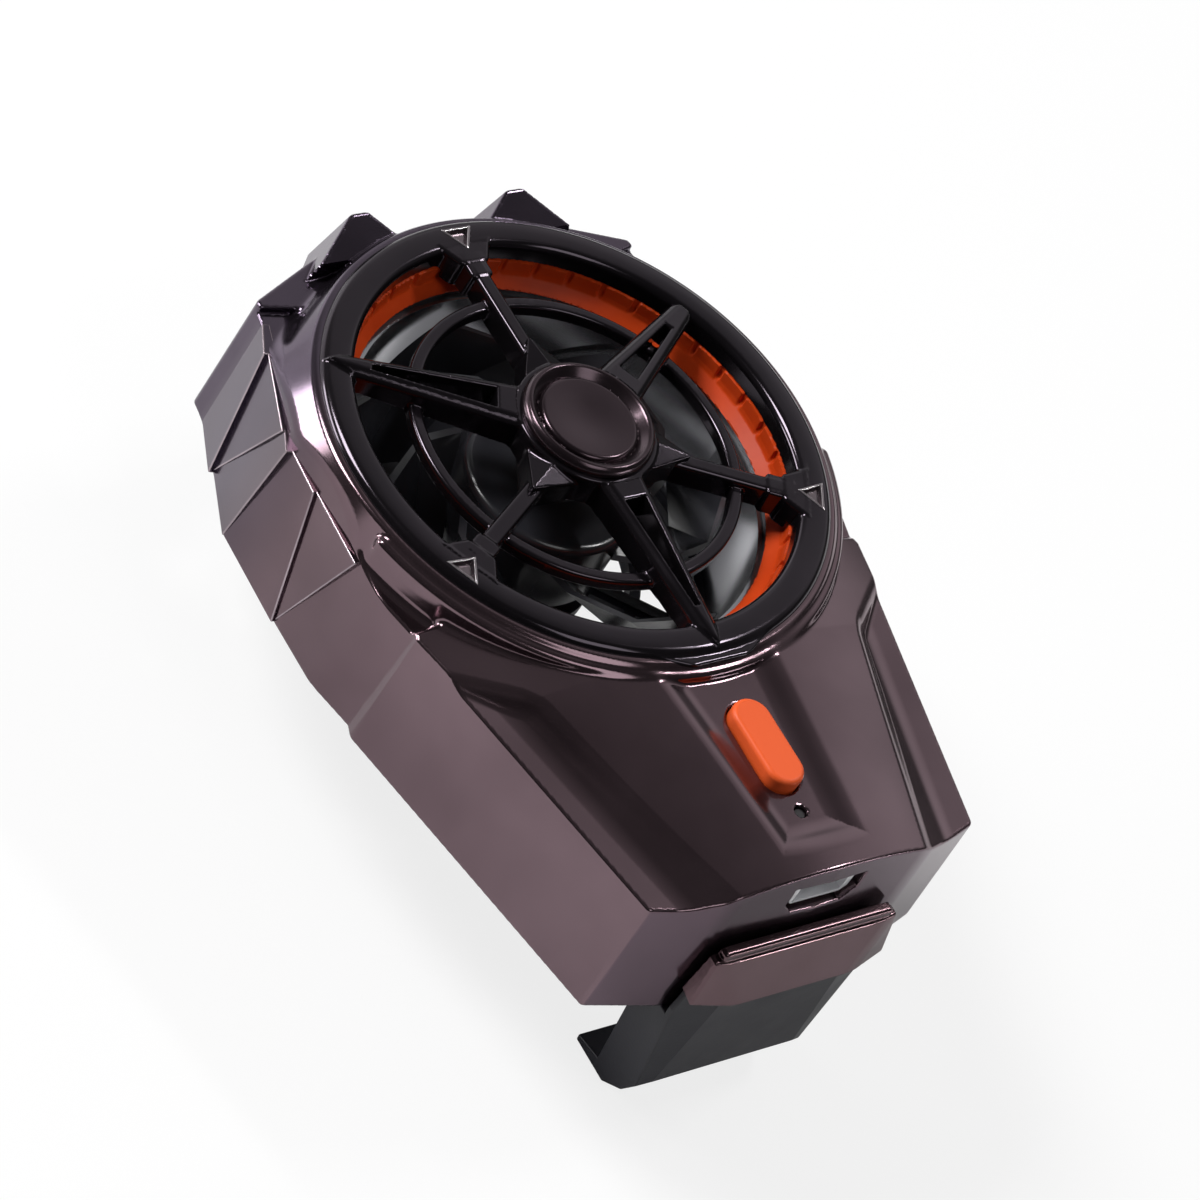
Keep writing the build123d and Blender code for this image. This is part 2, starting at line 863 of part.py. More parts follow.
def blade():
    """One curved blade, pitched as it leaves the hub."""
    top = rotor_top - blade_top_gap
    root = rotor_hub_radius - rotor_hub_wall / 2
    sections = []
    stations = 4
    for k in range(stations):
        share = k / (stations - 1)
        radius = root + (blade_radius - root) * share
        lean = math.radians(blade_root_sweep + (blade_tip_sweep - blade_root_sweep) * share)
        half_run = blade_height / 2 * math.tan(math.pi / 4 + (1 - share) * math.pi / 24)
        half = blade_thickness / 2
        middle = top - blade_height / 2
        high, low = middle + blade_height / 2, middle - blade_height / 2
        turn = Rot(0, 0, math.degrees(lean) * share)
        face = make_face(Polyline(
            (radius, -half_run - half, high),
            (radius, -half_run + half, high),
            (radius, half_run + half, low),
            (radius, half_run - half, low),
            close=True,
        ))
        sections.append(turn * face)
    solid = loft(sections, ruled=True)
    keep = disc(blade_radius, top - blade_height, top) - disc(root, top - blade_height, top)
    return solid & keep


def fan_rotor():
    """The cup over the motor with its blades."""
    foot = rotor_foot
    cup = disc(rotor_hub_radius, foot, rotor_top)
    cup = fillet(cup.edges().group_by(Axis.Z)[-1], rotor_hub_wall)
    cup -= disc(rotor_hub_radius - rotor_hub_wall, foot - overrun, rotor_top - rotor_hub_top)
    cup += disc(shaft_radius + rotor_hub_top, bearing_top + running_gap, rotor_top - rotor_hub_top)
    cup -= disc(shaft_radius, foot, rotor_top - rotor_hub_top / 2)
    for k in range(blade_count):
        cup += at_angle(blade(), 360 * k / blade_count)
    return cup


def rotor_magnet():
    """The ring magnet pressed into the rotor's cup."""
    outer = rotor_hub_radius - rotor_hub_wall
    return tube(outer, outer - magnet_thickness, magnet_foot, magnet_foot + magnet_height)


def rotor_shaft():
    """The steel pin pressed into the rotor, running in the sleeve bearing."""
    return disc(shaft_radius, bearing_foot, rotor_top - rotor_hub_top / 2)


def shaft_bearing():
    """The bronze sleeve in the cover's tube."""
    return tube(shaft_radius + bearing_wall, shaft_radius + shaft_gap, bearing_foot, bearing_top)


def stator_limits():
    """Inner and outer radius and the two heights of the stator."""
    outer = rotor_hub_radius - rotor_hub_wall - magnet_thickness - stator_gap
    inner = shaft_radius + bearing_wall + bearing_tube_wall + shaft_gap
    foot = magnet_foot + stator_set_in
    return inner, outer, foot, foot + stator_height


def stator_core():
    """Four steel poles round the bearing tube."""
    inner, outer, low, high = stator_limits()
    core = disc(stator_core_radius, low, high)
    for k in range(4):
        pole = block((0, -stator_pole_width / 2, low), (outer - stator_tip_thickness / 2, stator_pole_width / 2, high))
        core += at_angle(pole, 45 + 90 * k)
    tips = tube(outer, outer - stator_tip_thickness, low, high)
    reach = 2 * outer
    spread = math.radians(stator_tip_angle / 2)
    wedge = flat([
        (0, 0),
        (reach * math.cos(spread), reach * math.sin(spread)),
        (reach * math.cos(spread), -reach * math.sin(spread)),
    ])
    sector = extrude(Pos(0, 0, low) * wedge, amount=high - low)
    for k in range(4):
        core += tips & at_angle(sector, 45 + 90 * k)
    return core - disc(inner, low - overrun, high + overrun)


def stator_coils():
    """The four windings, one on each pole."""
    inner, outer, low, high = stator_limits()
    near = stator_core_radius + snug_gap
    half = stator_pole_width / 2
    tip_inner = outer - stator_tip_thickness
    far = math.sqrt(tip_inner * tip_inner - (half + coil_thickness) * (half + coil_thickness)) - snug_gap
    coils = []
    for k in range(4):
        skin = block((near, -half - coil_thickness, low - coil_thickness), (far, half + coil_thickness, high + coil_thickness))
        hole = block((near - overrun, -half, low), (far + overrun, half, high))
        coils.append(at_angle(skin - hole, 45 + 90 * k))
    return group(coils)


def motor_board():
    """The round board under the stator, on the cover's step."""
    low = motor_board_foot
    inner = shaft_radius + bearing_wall + bearing_tube_wall + snug_gap
    return tube(motor_board_radius, inner, low, low + motor_board_thickness)


# Back cover

def pad_post_places():
    places = []
    for x, y in (phone_pad_fan, phone_pad_foot):
        places.append((x, y))
        places.append((-x, y))
    return places


def vents():
    """The air openings under the blades, as one cutting shape."""
    air = tube(vent_outer_radius, vent_hub_radius, back - overrun, inner_back + overrun)
    air -= tube(
        vent_ring_radius + vent_rib_width / 2, vent_ring_radius - vent_rib_width / 2, back - overrun, inner_back + overrun
    )
    for k in range(vent_spoke_count):
        bar = block(
            (0, -vent_spoke_width / 2, back - overrun),
            (vent_outer_radius + overrun, vent_spoke_width / 2, inner_back + overrun),
        )
        air -= at_angle(bar, 360 * (k + 0.5) / vent_spoke_count)
    return air


def guide_posts():
    """The four small posts that hold the guide rods, on the right and left."""
    foot_y = -guide_post_reach
    head_y = -tongue_bar_reach + running_gap
    posts = []
    for low_y in (foot_y, head_y):
        post = block(
            (guide_rod_half - guide_post_width / 2, low_y, inner_back),
            (guide_rod_half + guide_post_width / 2, low_y + guide_post_thickness, rod_z + spring_radius),
        )
        posts.extend(both_sides(post))
    return posts


def guide_rod(x):
    """One steel rod along Y, held by two posts."""
    start = -guide_post_reach
    end = -tongue_bar_reach + running_gap + guide_post_thickness
    return Pos(x, (start + end) / 2, rod_z) * Rot(90, 0, 0) * Cylinder(guide_rod_radius, end - start)


def back_cover():
    """The plate that closes the casing: vents, motor seat, rod posts and phone-pad posts."""
    plan = offset(outline(), amount=-wall - snug_gap, kind=Kind.INTERSECTION)
    cover = extrude(Pos(0, 0, back) * plan, amount=cover_thickness)
    cover -= vents()
    cover += disc(motor_board_radius - overrun, inner_back, motor_board_foot)
    tube_outer = shaft_radius + bearing_wall + bearing_tube_wall
    cover += disc(tube_outer, inner_back, bearing_top)
    cover -= disc(shaft_radius + bearing_wall, bearing_foot, bearing_top + overrun)
    for post in guide_posts():
        cover += post
    for x in (-guide_rod_half, guide_rod_half):
        cover -= guide_rod(x)
    for x, y in pad_post_places():
        cover += disc(pad_post_radius, back - pad_post_height, back, x, y)
        cover -= disc(phone_pad_radius, back - pad_post_height - overrun, back - pad_post_height + phone_pad_sink, x, y)
    for x, y in cover_boss_places():
        cover -= disc(screw_radius + snug_gap, back - overrun, inner_back + overrun, x, y)
        cover -= disc(screw_head_radius + snug_gap, back - overrun, back + screw_head_height, x, y)
    for x in (-fixed_screw_half, fixed_screw_half):
        cover -= disc(screw_radius, back - overrun, inner_back + overrun, x, fixed_screw_reach)
    return cover


def screw(x, y, head_low, length):
    """A pan-head screw that points up."""
    shank = disc(screw_radius, head_low + screw_head_height, head_low + screw_head_height + length, x, y)
    head = disc(screw_head_radius, head_low, head_low + screw_head_height, x, y)
    cross = block(
        (x - screw_head_radius / 2, y - screw_radius / 4, head_low - overrun),
        (x + screw_head_radius / 2, y + screw_radius / 4, head_low + screw_head_height / 2),
    )
    other = Pos(x, y, 0) * Rot(0, 0, 90) * Pos(-x, -y, 0) * cross
    return shank + head - cross - other


def cover_screws():
    """The four screws through the back cover."""
    length = screw_length + cover_thickness - 2 * screw_head_height
    return group([screw(x, y, back, length) for x, y in cover_boss_places()])


def phone_pads():
    """The four rubber feet that the phone lies on."""
    top = back - pad_post_height + phone_pad_sink
    return group([disc(phone_pad_radius, top - phone_pad_height, top, x, y) for x, y in pad_post_places()])


# Electronics of the socket end

def main_board():
    """The charging and control board."""
    board = block((-board_half_width, -board_foot_reach, board_foot), (board_half_width, -board_head_reach, board_top))
    for x, y in board_screw_places():
        board -= disc(screw_radius + snug_gap, board_foot - overrun, board_top + overrun, x, y)
    return board


def board_screws():
    """The two screws that hang the board from the casing's bosses."""
    length = board_thickness + screw_radius
    return group([screw(x, y, board_foot - screw_head_height, length) for x, y in board_screw_places()])


def usb_socket():
    """The metal charging socket with its inner tongue."""
    low, high = board_top, board_top + socket_height
    half = socket_width / 2
    lean = socket_height / 4
    outer = [(-half, high), (half, high), (half, low + lean), (half - lean, low), (-half + lean, low), (-half, low + lean)]
    front = -socket_reach
    rear = -socket_reach + socket_length
    shell = front_prism(outer, front, rear)
    hole = block(
        (-half + socket_wall + lean / 2, front - overrun, low + socket_wall),
        (half - socket_wall - lean / 2, rear - socket_wall * 2, high - socket_wall),
    )
    tongue = block(
        (-tongue_width / 2, front + socket_wall * 2, (low + high - tongue_thickness) / 2),
        (tongue_width / 2, rear - socket_wall, (low + high + tongue_thickness) / 2),
    )
    return shell - hole + tongue


def power_switch():
    """The small push switch under the button."""
    half = switch_size / 2
    body = block(
        (-half, -button_reach - half, board_top),
        (half, -button_reach + half, board_top + switch_height),
    )
    bore_foot = board_top + shaft_gap
    return body - disc(plunger_radius + snug_gap, bore_foot, board_top + overrun, 0, -button_reach)


def button_levels():
    """Heights of the button's top, the foot of its skirt and the foot of its flange."""
    top = -button_drop
    flange_top = top - button_skirt
    return top, flange_top, flange_top - button_flange_height


def switch_plunger():
    """The plunger that the button pushes into the switch."""
    top, flange_top, foot = button_levels()
    low = board_top + shaft_gap + button_travel + shaft_gap
    return disc(plunger_radius, low, foot, 0, -button_reach)


def button_cap():
    """The orange oblong button with the flange that keeps it in its hole."""
    top, flange_top, foot = button_levels()
    cap = stadium(button_length, button_width, flange_top, top, button_reach)
    cap = fillet(cap.edges().group_by(Axis.Z)[-1], button_edge)
    cap += stadium(button_length + button_flange_width, button_width + button_flange_width, foot, flange_top, button_reach)
    return cap


def indicator_led():
    """The charge light's chip on the board."""
    half = light_hole_radius
    return block((-half, -light_reach - half, board_top), (half, -light_reach + half, board_top + half))


def light_pin():
    """The clear pin that brings the charge light to its hole."""
    low = board_top + light_hole_radius
    return disc(light_hole_radius - snug_gap, low, -light_pin_drop, 0, -light_reach)


def board_chips():
    """The chips and the coil on the board."""
    chips = []
    for (width, length, height), (share_x, share_y) in zip(chip_sizes, chip_place_shares):
        x = board_half_width * share_x
        y = -board_head_reach - board_length * share_y
        chips.append(block((x - width / 2, y - length / 2, board_top), (x + width / 2, y + length / 2, board_top + height)))
    return group(chips)


def battery_cell():
    """The flat lithium cell taped under the board."""
    low = battery_top - battery_thickness
    cell = block(
        (-battery_width / 2, -battery_foot_reach, low),
        (battery_width / 2, -battery_foot_reach + battery_length, battery_top),
    )
    return fillet(cell.edges().filter_by(Axis.Y), battery_round)


def battery_tape():
    """The foam tape between the cell and the board."""
    half = battery_width / 2 - battery_round
    low_y = -battery_foot_reach + battery_round
    high_y = low_y + battery_length - 2 * battery_round
    return block((-half, low_y, battery_top), (half, high_y, board_foot))


# Leads

lead_angle = -45.0


def lead_tube(points, bend):
    """A round lead along straight runs joined by arcs."""
    path = FilletPolyline(*points, radius=bend)
    start = path @ 0
    along = path % 0
    profile = Plane(origin=start, z_dir=along) * Circle(lead_radius)
    return sweep(profile, path=path)


def motor_lead():
    """From the motor board, under the duct and up to the main board's edge."""
    angle = math.radians(lead_angle)
    low_z = inner_back + lead_radius + snug_gap
    start = motor_board_radius
    outside = duct_radius + duct_wall + lead_clearance
    side_x = outside * math.cos(angle)
    turn_y = -board_head_reach - lead_clearance
    board_z = board_foot + board_thickness / 2
    points = [
        (start * math.cos(angle), start * math.sin(angle), low_z),
        (side_x, outside * math.sin(angle), low_z),
        (side_x, turn_y, low_z),
        (side_x, turn_y, board_z),
        (board_half_width, turn_y, board_z),
    ]
    return lead_tube(points, lead_bend)


# Clamp

def claw_profile(face_y, outer_y, toward):
    """The hook in (y, z): toward is +1 when its lip points to +Y, -1 when to -Y."""
    lip_top = claw_bottom + claw_lip_thickness
    lean = claw_face_lean * toward
    return [
        (outer_y, claw_bottom + arm_toe_rise),
        (outer_y + toward * arm_heel_inset, claw_bottom + arm_heel_rise),
        (outer_y + toward * min(arm_toe_inset, abs(face_y - outer_y) - overrun / 4), claw_bottom),
        (face_y + toward * claw_lip, claw_bottom),
        (face_y + toward * claw_lip, lip_top),
        (face_y - lean, lip_top + claw_lip_thickness),
    ]


def clamp_arm():
    """The sliding claw with its tongue bar and the two ears that the springs push on."""
    face_y = -arm_inner_reach
    outer_y = -arm_outer_reach
    under = back - clamp_gap
    profile = claw_profile(face_y, outer_y, 1) + [
        (face_y, under),
        (-slide_stop_reach, under),
        (-slide_stop_reach, -arm_drop),
        (-slide_stop_reach - tab_proud_top, -arm_drop),
        (outer_y, -arm_front_drop),
    ]
    arm = side_prism(profile, arm_hip_half + overrun)
    half_plan = [
        (arm_top_half, -arm_drop + overrun),
        (arm_hip_half, -arm_hip_drop),
        (arm_foot_half, claw_bottom - overrun),
    ]
    front_view = half_plan + [(-x, z) for x, z in reversed(half_plan)]
    arm &= front_prism(front_view, -arm_outer_reach - overrun, 0)
    for side in both_sides(arm_bevel()):
        arm -= side
    bar = block(
        (-tongue_bar_half, -slide_stop_reach - tab_proud_top, tongue_bar_foot),
        (tongue_bar_half, -tongue_bar_reach, tongue_bar_foot + tongue_bar_thickness),
    )
    ears = block(
        (-ear_half, -tongue_bar_reach - ear_length, tongue_bar_foot),
        (ear_half, -tongue_bar_reach, tongue_bar_foot + ear_height),
    )
    arm += bar + ears
    for x in (-guide_rod_half, guide_rod_half):
        arm -= Pos(x, -tongue_bar_reach, rod_z) * Rot(90, 0, 0) * Cylinder(guide_rod_radius + shaft_gap, 3 * ear_length)
    return arm


def arm_bevel():
    """What the right-hand bevel takes off the arm's front corner."""
    outer_y = -arm_outer_reach
    hip = Vector(arm_front_half_hip, outer_y, -arm_hip_drop)
    foot = Vector(arm_front_half_foot, outer_y, claw_bottom + arm_toe_rise)
    edge = Vector(arm_hip_half, outer_y + arm_bevel_depth, -arm_hip_drop)
    along = foot - hip
    across = edge - hip
    normal = across.cross(along)
    if normal.Y > 0:
        normal = -normal
    reach = arm_outer_reach
    cutter = Plane(origin=hip, x_dir=along, z_dir=normal) * (Pos(0, 0, overrun) * Box(reach, reach, 2 * overrun))
    keep = block((arm_front_half_hip - overrun, outer_y - overrun, claw_bottom), (reach, outer_y + wall, -arm_drop))
    return cutter & keep


def pull_tab():
    """The plated pull on the arm's upper end."""
    rear = -slide_stop_reach
    profile = [
        (rear, -tab_top_drop),
        (rear - tab_proud_top / 2, -tab_top_drop),
        (rear - tab_proud_top, -tab_top_drop - tab_proud_top / 2),
        (rear - tab_proud_top - snug_gap, -tab_top_drop - tab_ledge - tab_proud_top / 2),
        (-tab_reach, -tab_foot_drop + tab_proud_top / 2),
        (-tab_reach, -tab_foot_drop),
        (-arm_outer_reach, -arm_front_drop),
        (rear - tab_proud_top, -arm_drop),
        (rear, -arm_drop),
    ]
    tab = side_prism(profile, tab_half_top + overrun)
    half_plan = [
        (tab_half_top - tab_ledge, -tab_top_drop + snug_gap),
        (tab_half_top, -tab_top_drop - tab_ledge),
        (tab_half_top, -arm_front_drop + tab_ledge),
        (tab_half_foot, -tab_foot_drop - snug_gap),
    ]
    front_view = half_plan + [(-x, z) for x, z in reversed(half_plan)]
    return tab & front_prism(front_view, -tab_reach - overrun, 0)


def grip_pad(face_y, toward, top):
    """A ribbed rubber pad on a claw's inner face; toward is +1 when it faces +Y."""
    foot = back - grip_top_gap - grip_height
    skin = face_y + toward * (grip_thickness - grip_rib_depth)
    crest = face_y + toward * grip_thickness
    points = [(face_y, foot), (skin, foot)]
    pitch = (top - foot) / grip_rib_count
    for k in range(grip_rib_count):
        low = foot + k * pitch
        points.append((crest, low + pitch / 2))
        points.append((skin, low + pitch))
    points.append((face_y, top))
    return side_prism(points, grip_half_width)


def arm_grip_pad():
    return grip_pad(-arm_inner_reach, 1, back - grip_top_gap)


def fixed_claw():
    """The claw screwed under the fan end of the back cover."""
    face_y = fixed_claw_face_reach
    outer_y = face_y + fixed_claw_thickness
    foot_low = back - fixed_foot_thickness
    profile = claw_profile(face_y, outer_y, -1) + [
        (face_y, foot_low),
        (fixed_foot_reach, foot_low),
        (fixed_foot_reach, back),
        (outer_y - snug_gap, back),
        (outer_y, foot_low),
    ]
    claw = side_prism(profile, fixed_claw_half)
    for x in (-fixed_screw_half, fixed_screw_half):
        claw -= disc(screw_radius + snug_gap, foot_low - overrun, back + overrun, x, fixed_screw_reach)
    return claw


def claw_screws():
    """The two screws that hold the fixed claw."""
    head_low = back - fixed_foot_thickness - screw_head_height
    length = fixed_foot_thickness + cover_thickness
    return group([screw(x, fixed_screw_reach, head_low, length) for x in (-fixed_screw_half, fixed_screw_half)])


def fixed_grip_pad():
    """The ribbed pad of the fixed claw, below its screws."""
    return grip_pad(fixed_claw_face_reach, -1, back - fixed_foot_thickness - screw_head_height - running_gap)


def return_spring(x):
    """The space that one return spring takes, round its guide rod."""
    start = -guide_post_reach + guide_post_thickness
    end = -tongue_bar_reach - ear_length
    outer = Pos(x, (start + end) / 2, rod_z) * Rot(90, 0, 0) * Cylinder(spring_radius, end - start)
    inner = Pos(x, (start + end) / 2, rod_z) * Rot(90, 0, 0) * Cylinder(spring_radius - spring_wall, end - start + overrun)
    return outer - inner


def guide_rods():
    return group([guide_rod(-guide_rod_half), guide_rod(guide_rod_half)])


write(front_shell(), "front_shell")
write(fan_grille(), "fan_grille")
write(hub_cap(), "hub_cap")
write(light_ring(), "light_ring")
write(led_board(), "led_board")
write(ring_leds(), "ring_leds")
write(fan_duct(), "fan_duct")
write(fan_rotor(), "fan_rotor")
write(rotor_magnet(), "rotor_magnet")
write(rotor_shaft(), "rotor_shaft")
write(shaft_bearing(), "shaft_bearing")
write(stator_core(), "stator_core")
write(stator_coils(), "stator_coils")
write(motor_board(), "motor_board")
write(back_cover(), "back_cover")
write(cover_screws(), "cover_screws")
write(phone_pads(), "phone_pads")
write(main_board(), "main_board")
write(board_screws(), "board_screws")
write(usb_socket(), "usb_socket")
write(power_switch(), "power_switch")
write(switch_plunger(), "switch_plunger")
write(button_cap(), "button_cap")
write(indicator_led(), "indicator_led")
write(light_pin(), "light_pin")
write(board_chips(), "board_chips")
write(battery_cell(), "battery_cell")
write(battery_tape(), "battery_tape")
write(motor_lead(), "motor_lead")
write(clamp_arm(), "clamp_arm")
write(pull_tab(), "pull_tab")
write(arm_grip_pad(), "arm_grip_pad")
write(fixed_claw(), "fixed_claw")
write(claw_screws(), "claw_screws")
write(fixed_grip_pad(), "fixed_grip_pad")
write(guide_rods(), "guide_rods")
write(return_spring(-guide_rod_half), "return_spring_left")
write(return_spring(guide_rod_half), "return_spring_right")
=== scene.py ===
import bpy
import bmesh
import json
import math
import numpy as np
from mathutils import Matrix, Vector


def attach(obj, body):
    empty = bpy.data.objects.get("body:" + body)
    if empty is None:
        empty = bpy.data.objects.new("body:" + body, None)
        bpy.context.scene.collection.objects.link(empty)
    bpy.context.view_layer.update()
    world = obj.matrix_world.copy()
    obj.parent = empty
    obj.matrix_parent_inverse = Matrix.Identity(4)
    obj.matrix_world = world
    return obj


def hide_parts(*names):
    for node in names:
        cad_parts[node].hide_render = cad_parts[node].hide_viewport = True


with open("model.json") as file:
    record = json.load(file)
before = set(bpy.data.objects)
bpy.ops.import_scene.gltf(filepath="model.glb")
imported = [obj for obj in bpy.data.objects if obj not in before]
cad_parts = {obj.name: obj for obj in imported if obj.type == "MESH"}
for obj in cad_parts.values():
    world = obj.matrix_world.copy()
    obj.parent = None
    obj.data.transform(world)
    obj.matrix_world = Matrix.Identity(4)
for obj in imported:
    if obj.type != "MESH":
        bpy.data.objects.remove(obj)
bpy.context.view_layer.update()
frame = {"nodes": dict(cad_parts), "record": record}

# Forms are drawn in millimetres about the middle of the grille's ring; the frame is in metres
SHIFT = 12.85
RAISE = 37.2
MM = 1000


# Distance fields: negative inside, r is the radius of the rounded edge or filled corner.
# A sloped plane is multiplied by its UNIT, which brings the field's slope back to about one.


def cut_round(a, b, r):
    """Both a and b, with the edge between them rounded."""
    past = np.hypot(np.maximum(r + a, 0), np.maximum(r + b, 0))
    return np.minimum(-r, np.maximum(a, b)) + past


def join_round(a, b, r):
    """Either a or b, with the corner between them filled."""
    short = np.hypot(np.maximum(r - a, 0), np.maximum(r - b, 0))
    return np.maximum(r, np.minimum(a, b)) - short


def side_of(x, y, a, b):
    """Distance to the line from a to b, positive on the left of that walk."""
    nx, ny = a[1] - b[1], b[0] - a[0]
    return ((x - a[0]) * nx + (y - a[1]) * ny) / math.hypot(nx, ny)


def ease(t):
    """0 to 1 with soft ends."""
    t = np.clip(t, 0, 1)
    return t * t * (3 - 2 * t)


# Meshes from fields

BLOCK = 8
BLOCKS_AT_ONCE = 1200
TINY = 1e-9
STEEPEST = 1.25
PULLS = 3
PULL_LIMIT = 0.4
PULL_SLOPE_MIN = 0.25
PULL_PROBE = 0.006
NORMAL_INSET = 0.04
NORMAL_PROBE = 0.02
NORMAL_AGREES = 0.8
CRISP_SEGMENTS = 3
CRISP_ANGLE = 20


def sample(field, low, high, step):
    """The field on a grid, worked out only in blocks near its surface."""
    counts = [int(math.ceil((high[i] - low[i]) / step / BLOCK)) * BLOCK for i in range(3)]
    blocks = [c // BLOCK for c in counts]
    grid = np.empty(counts, np.float32)
    mids = [low[i] + step * (BLOCK * np.arange(blocks[i]) + (BLOCK - 1) / 2) for i in range(3)]
    gx, gy, gz = np.meshgrid(*mids, indexing="ij")
    middle = field(gx.ravel(), gy.ravel(), gz.ravel()).reshape(blocks)
    reach = step * BLOCK * 0.5 * math.sqrt(3) * STEEPEST + step
    view = grid.reshape(blocks[0], BLOCK, blocks[1], BLOCK, blocks[2], BLOCK)
    view[:] = np.where(middle < 0, -reach, reach)[:, None, :, None, :, None]
    near = np.argwhere(np.abs(middle) < reach)
    offsets = step * np.arange(BLOCK)
    for start in range(0, len(near), BLOCKS_AT_ONCE):
        part = near[start:start + BLOCKS_AT_ONCE]
        shape = (len(part), BLOCK, BLOCK, BLOCK)
        bx, by, bz = [(low[i] + step * BLOCK * part[:, i])[:, None, None, None] for i in range(3)]
        x = np.broadcast_to(bx + offsets[None, :, None, None], shape)
        y = np.broadcast_to(by + offsets[None, None, :, None], shape)
        z = np.broadcast_to(bz + offsets[None, None, None, :], shape)
        value = field(x.ravel(), y.ravel(), z.ravel()).reshape(shape)
        view[part[:, 0], :, part[:, 1], :, part[:, 2], :] = value
    return grid


def slope_of(field, points, probe, here=None):
    """The field's gradient at the points."""
    if here is None:
        here = field(*points.T)
    slope = np.empty_like(points)
    for i in range(3):
        moved = points.copy()
        moved[:, i] += probe
        slope[:, i] = (field(*moved.T) - here) / probe
    return slope


def pull_to_surface(field, points, step):
    """The points moved onto the field's zero surface."""
    for _ in range(PULLS):
        value = field(*points.T)
        g = slope_of(field, points, PULL_PROBE, value)
        move = -value[:, None] * g / np.maximum((g * g).sum(1), PULL_SLOPE_MIN)[:, None]
        far = np.linalg.norm(move, axis=1)
        move *= np.minimum(1, PULL_LIMIT * step / np.maximum(far, TINY))[:, None]
        points = points + move
    return points


def skin(field, low, high, step):
    """Points and quads of the field's zero surface, one point in each grid cell it passes."""
    grid = sample(field, low, high, step)
    inside = grid < 0
    nx, ny, nz = grid.shape
    corners = [(i, j, k) for i in (0, 1) for j in (0, 1) for k in (0, 1)]
    total = np.zeros((nx - 1, ny - 1, nz - 1), np.uint8)
    for i, j, k in corners:
        total += inside[i:nx - 1 + i, j:ny - 1 + j, k:nz - 1 + k]
    active = (total > 0) & (total < 8)
    cells = np.argwhere(active)
    index = np.full(active.shape, -1, np.int64)
    index[active] = np.arange(len(cells))
    sums = np.zeros((len(cells), 3))
    hits = np.zeros(len(cells))
    for a in corners:
        for axis in range(3):
            if a[axis]:
                continue
            b = list(a)
            b[axis] = 1
            va = grid[cells[:, 0] + a[0], cells[:, 1] + a[1], cells[:, 2] + a[2]]
            vb = grid[cells[:, 0] + b[0], cells[:, 1] + b[1], cells[:, 2] + b[2]]
            cross = (va < 0) != (vb < 0)
            t = np.where(cross, va / np.where(cross, va - vb, 1), 0)
            point = np.tile(np.array(a, float), (len(cells), 1))
            point[:, axis] += t
            sums[cross] += point[cross]
            hits[cross] += 1
    points = np.array(low) + step * (cells + sums / hits[:, None])
    points = pull_to_surface(field, points, step)
    quads = []
    for axis in range(3):
        u, v = [(1, 2), (2, 0), (0, 1)][axis]
        here = [slice(1, n - 1) for n in grid.shape]
        ahead = list(here)
        here[axis] = slice(0, grid.shape[axis] - 1)
        ahead[axis] = slice(1, grid.shape[axis])
        spots = np.argwhere(inside[tuple(here)] != inside[tuple(ahead)])
        spots[:, u] += 1
        spots[:, v] += 1
        ring = []
        for du, dv in ((-1, -1), (0, -1), (0, 0), (-1, 0)):
            c = spots.copy()
            c[:, u] += du
            c[:, v] += dv
            ring.append(index[c[:, 0], c[:, 1], c[:, 2]])
        quad = np.stack(ring, 1)
        flip = ~inside[spots[:, 0], spots[:, 1], spots[:, 2]]
        quad[flip] = quad[flip][:, ::-1]
        quads.append(quad[(quad >= 0).all(1)])
    return points, np.concatenate(quads)


def mesh_of_quads(name, points, quads):
    mesh = bpy.data.meshes.new(name)
    mesh.vertices.add(len(points))
    mesh.vertices.foreach_set("co", points.ravel())
    mesh.loops.add(4 * len(quads))
    mesh.loops.foreach_set("vertex_index", quads.ravel().astype(np.int32))
    mesh.polygons.add(len(quads))
    mesh.polygons.foreach_set("loop_start", 4 * np.arange(len(quads), dtype=np.int32))
    mesh.update(calc_edges=True)
    return mesh


def thin_out(o, share):
    """The object's mesh with only this share of its faces."""
    full = o.data
    thin = o.modifiers.new("thin", "DECIMATE")
    thin.ratio = share
    thin.use_collapse_triangulate = True
    deps = bpy.context.evaluated_depsgraph_get()
    thinned = bpy.data.meshes.new_from_object(o.evaluated_get(deps))
    o.modifiers.clear()
    o.data = thinned
    name = full.name
    bpy.data.meshes.remove(full)
    thinned.name = name
    return thinned


def corner_normals(field, mesh, points):
    """A normal for each face corner: the field's gradient, or the face's own at a sharp edge."""
    loops = np.empty(len(mesh.loops), np.int32)
    mesh.loops.foreach_get("vertex_index", loops)
    face_of = np.repeat(np.arange(len(mesh.polygons)), [len(p.vertices) for p in mesh.polygons])
    face_normal = np.empty(3 * len(mesh.polygons))
    mesh.polygons.foreach_get("normal", face_normal)
    face_normal = face_normal.reshape(-1, 3)[face_of]
    corner_at = points[loops]
    middle = np.zeros((len(mesh.polygons), 3))
    np.add.at(middle, face_of, corner_at)
    middle /= np.bincount(face_of)[:, None]
    inward = corner_at + NORMAL_INSET * (middle[face_of] - corner_at)
    g = slope_of(field, inward, NORMAL_PROBE)
    g /= np.maximum(np.linalg.norm(g, axis=1), TINY)[:, None]
    agree = (g * face_normal).sum(1)
    return np.where((agree > NORMAL_AGREES)[:, None], g, face_normal)


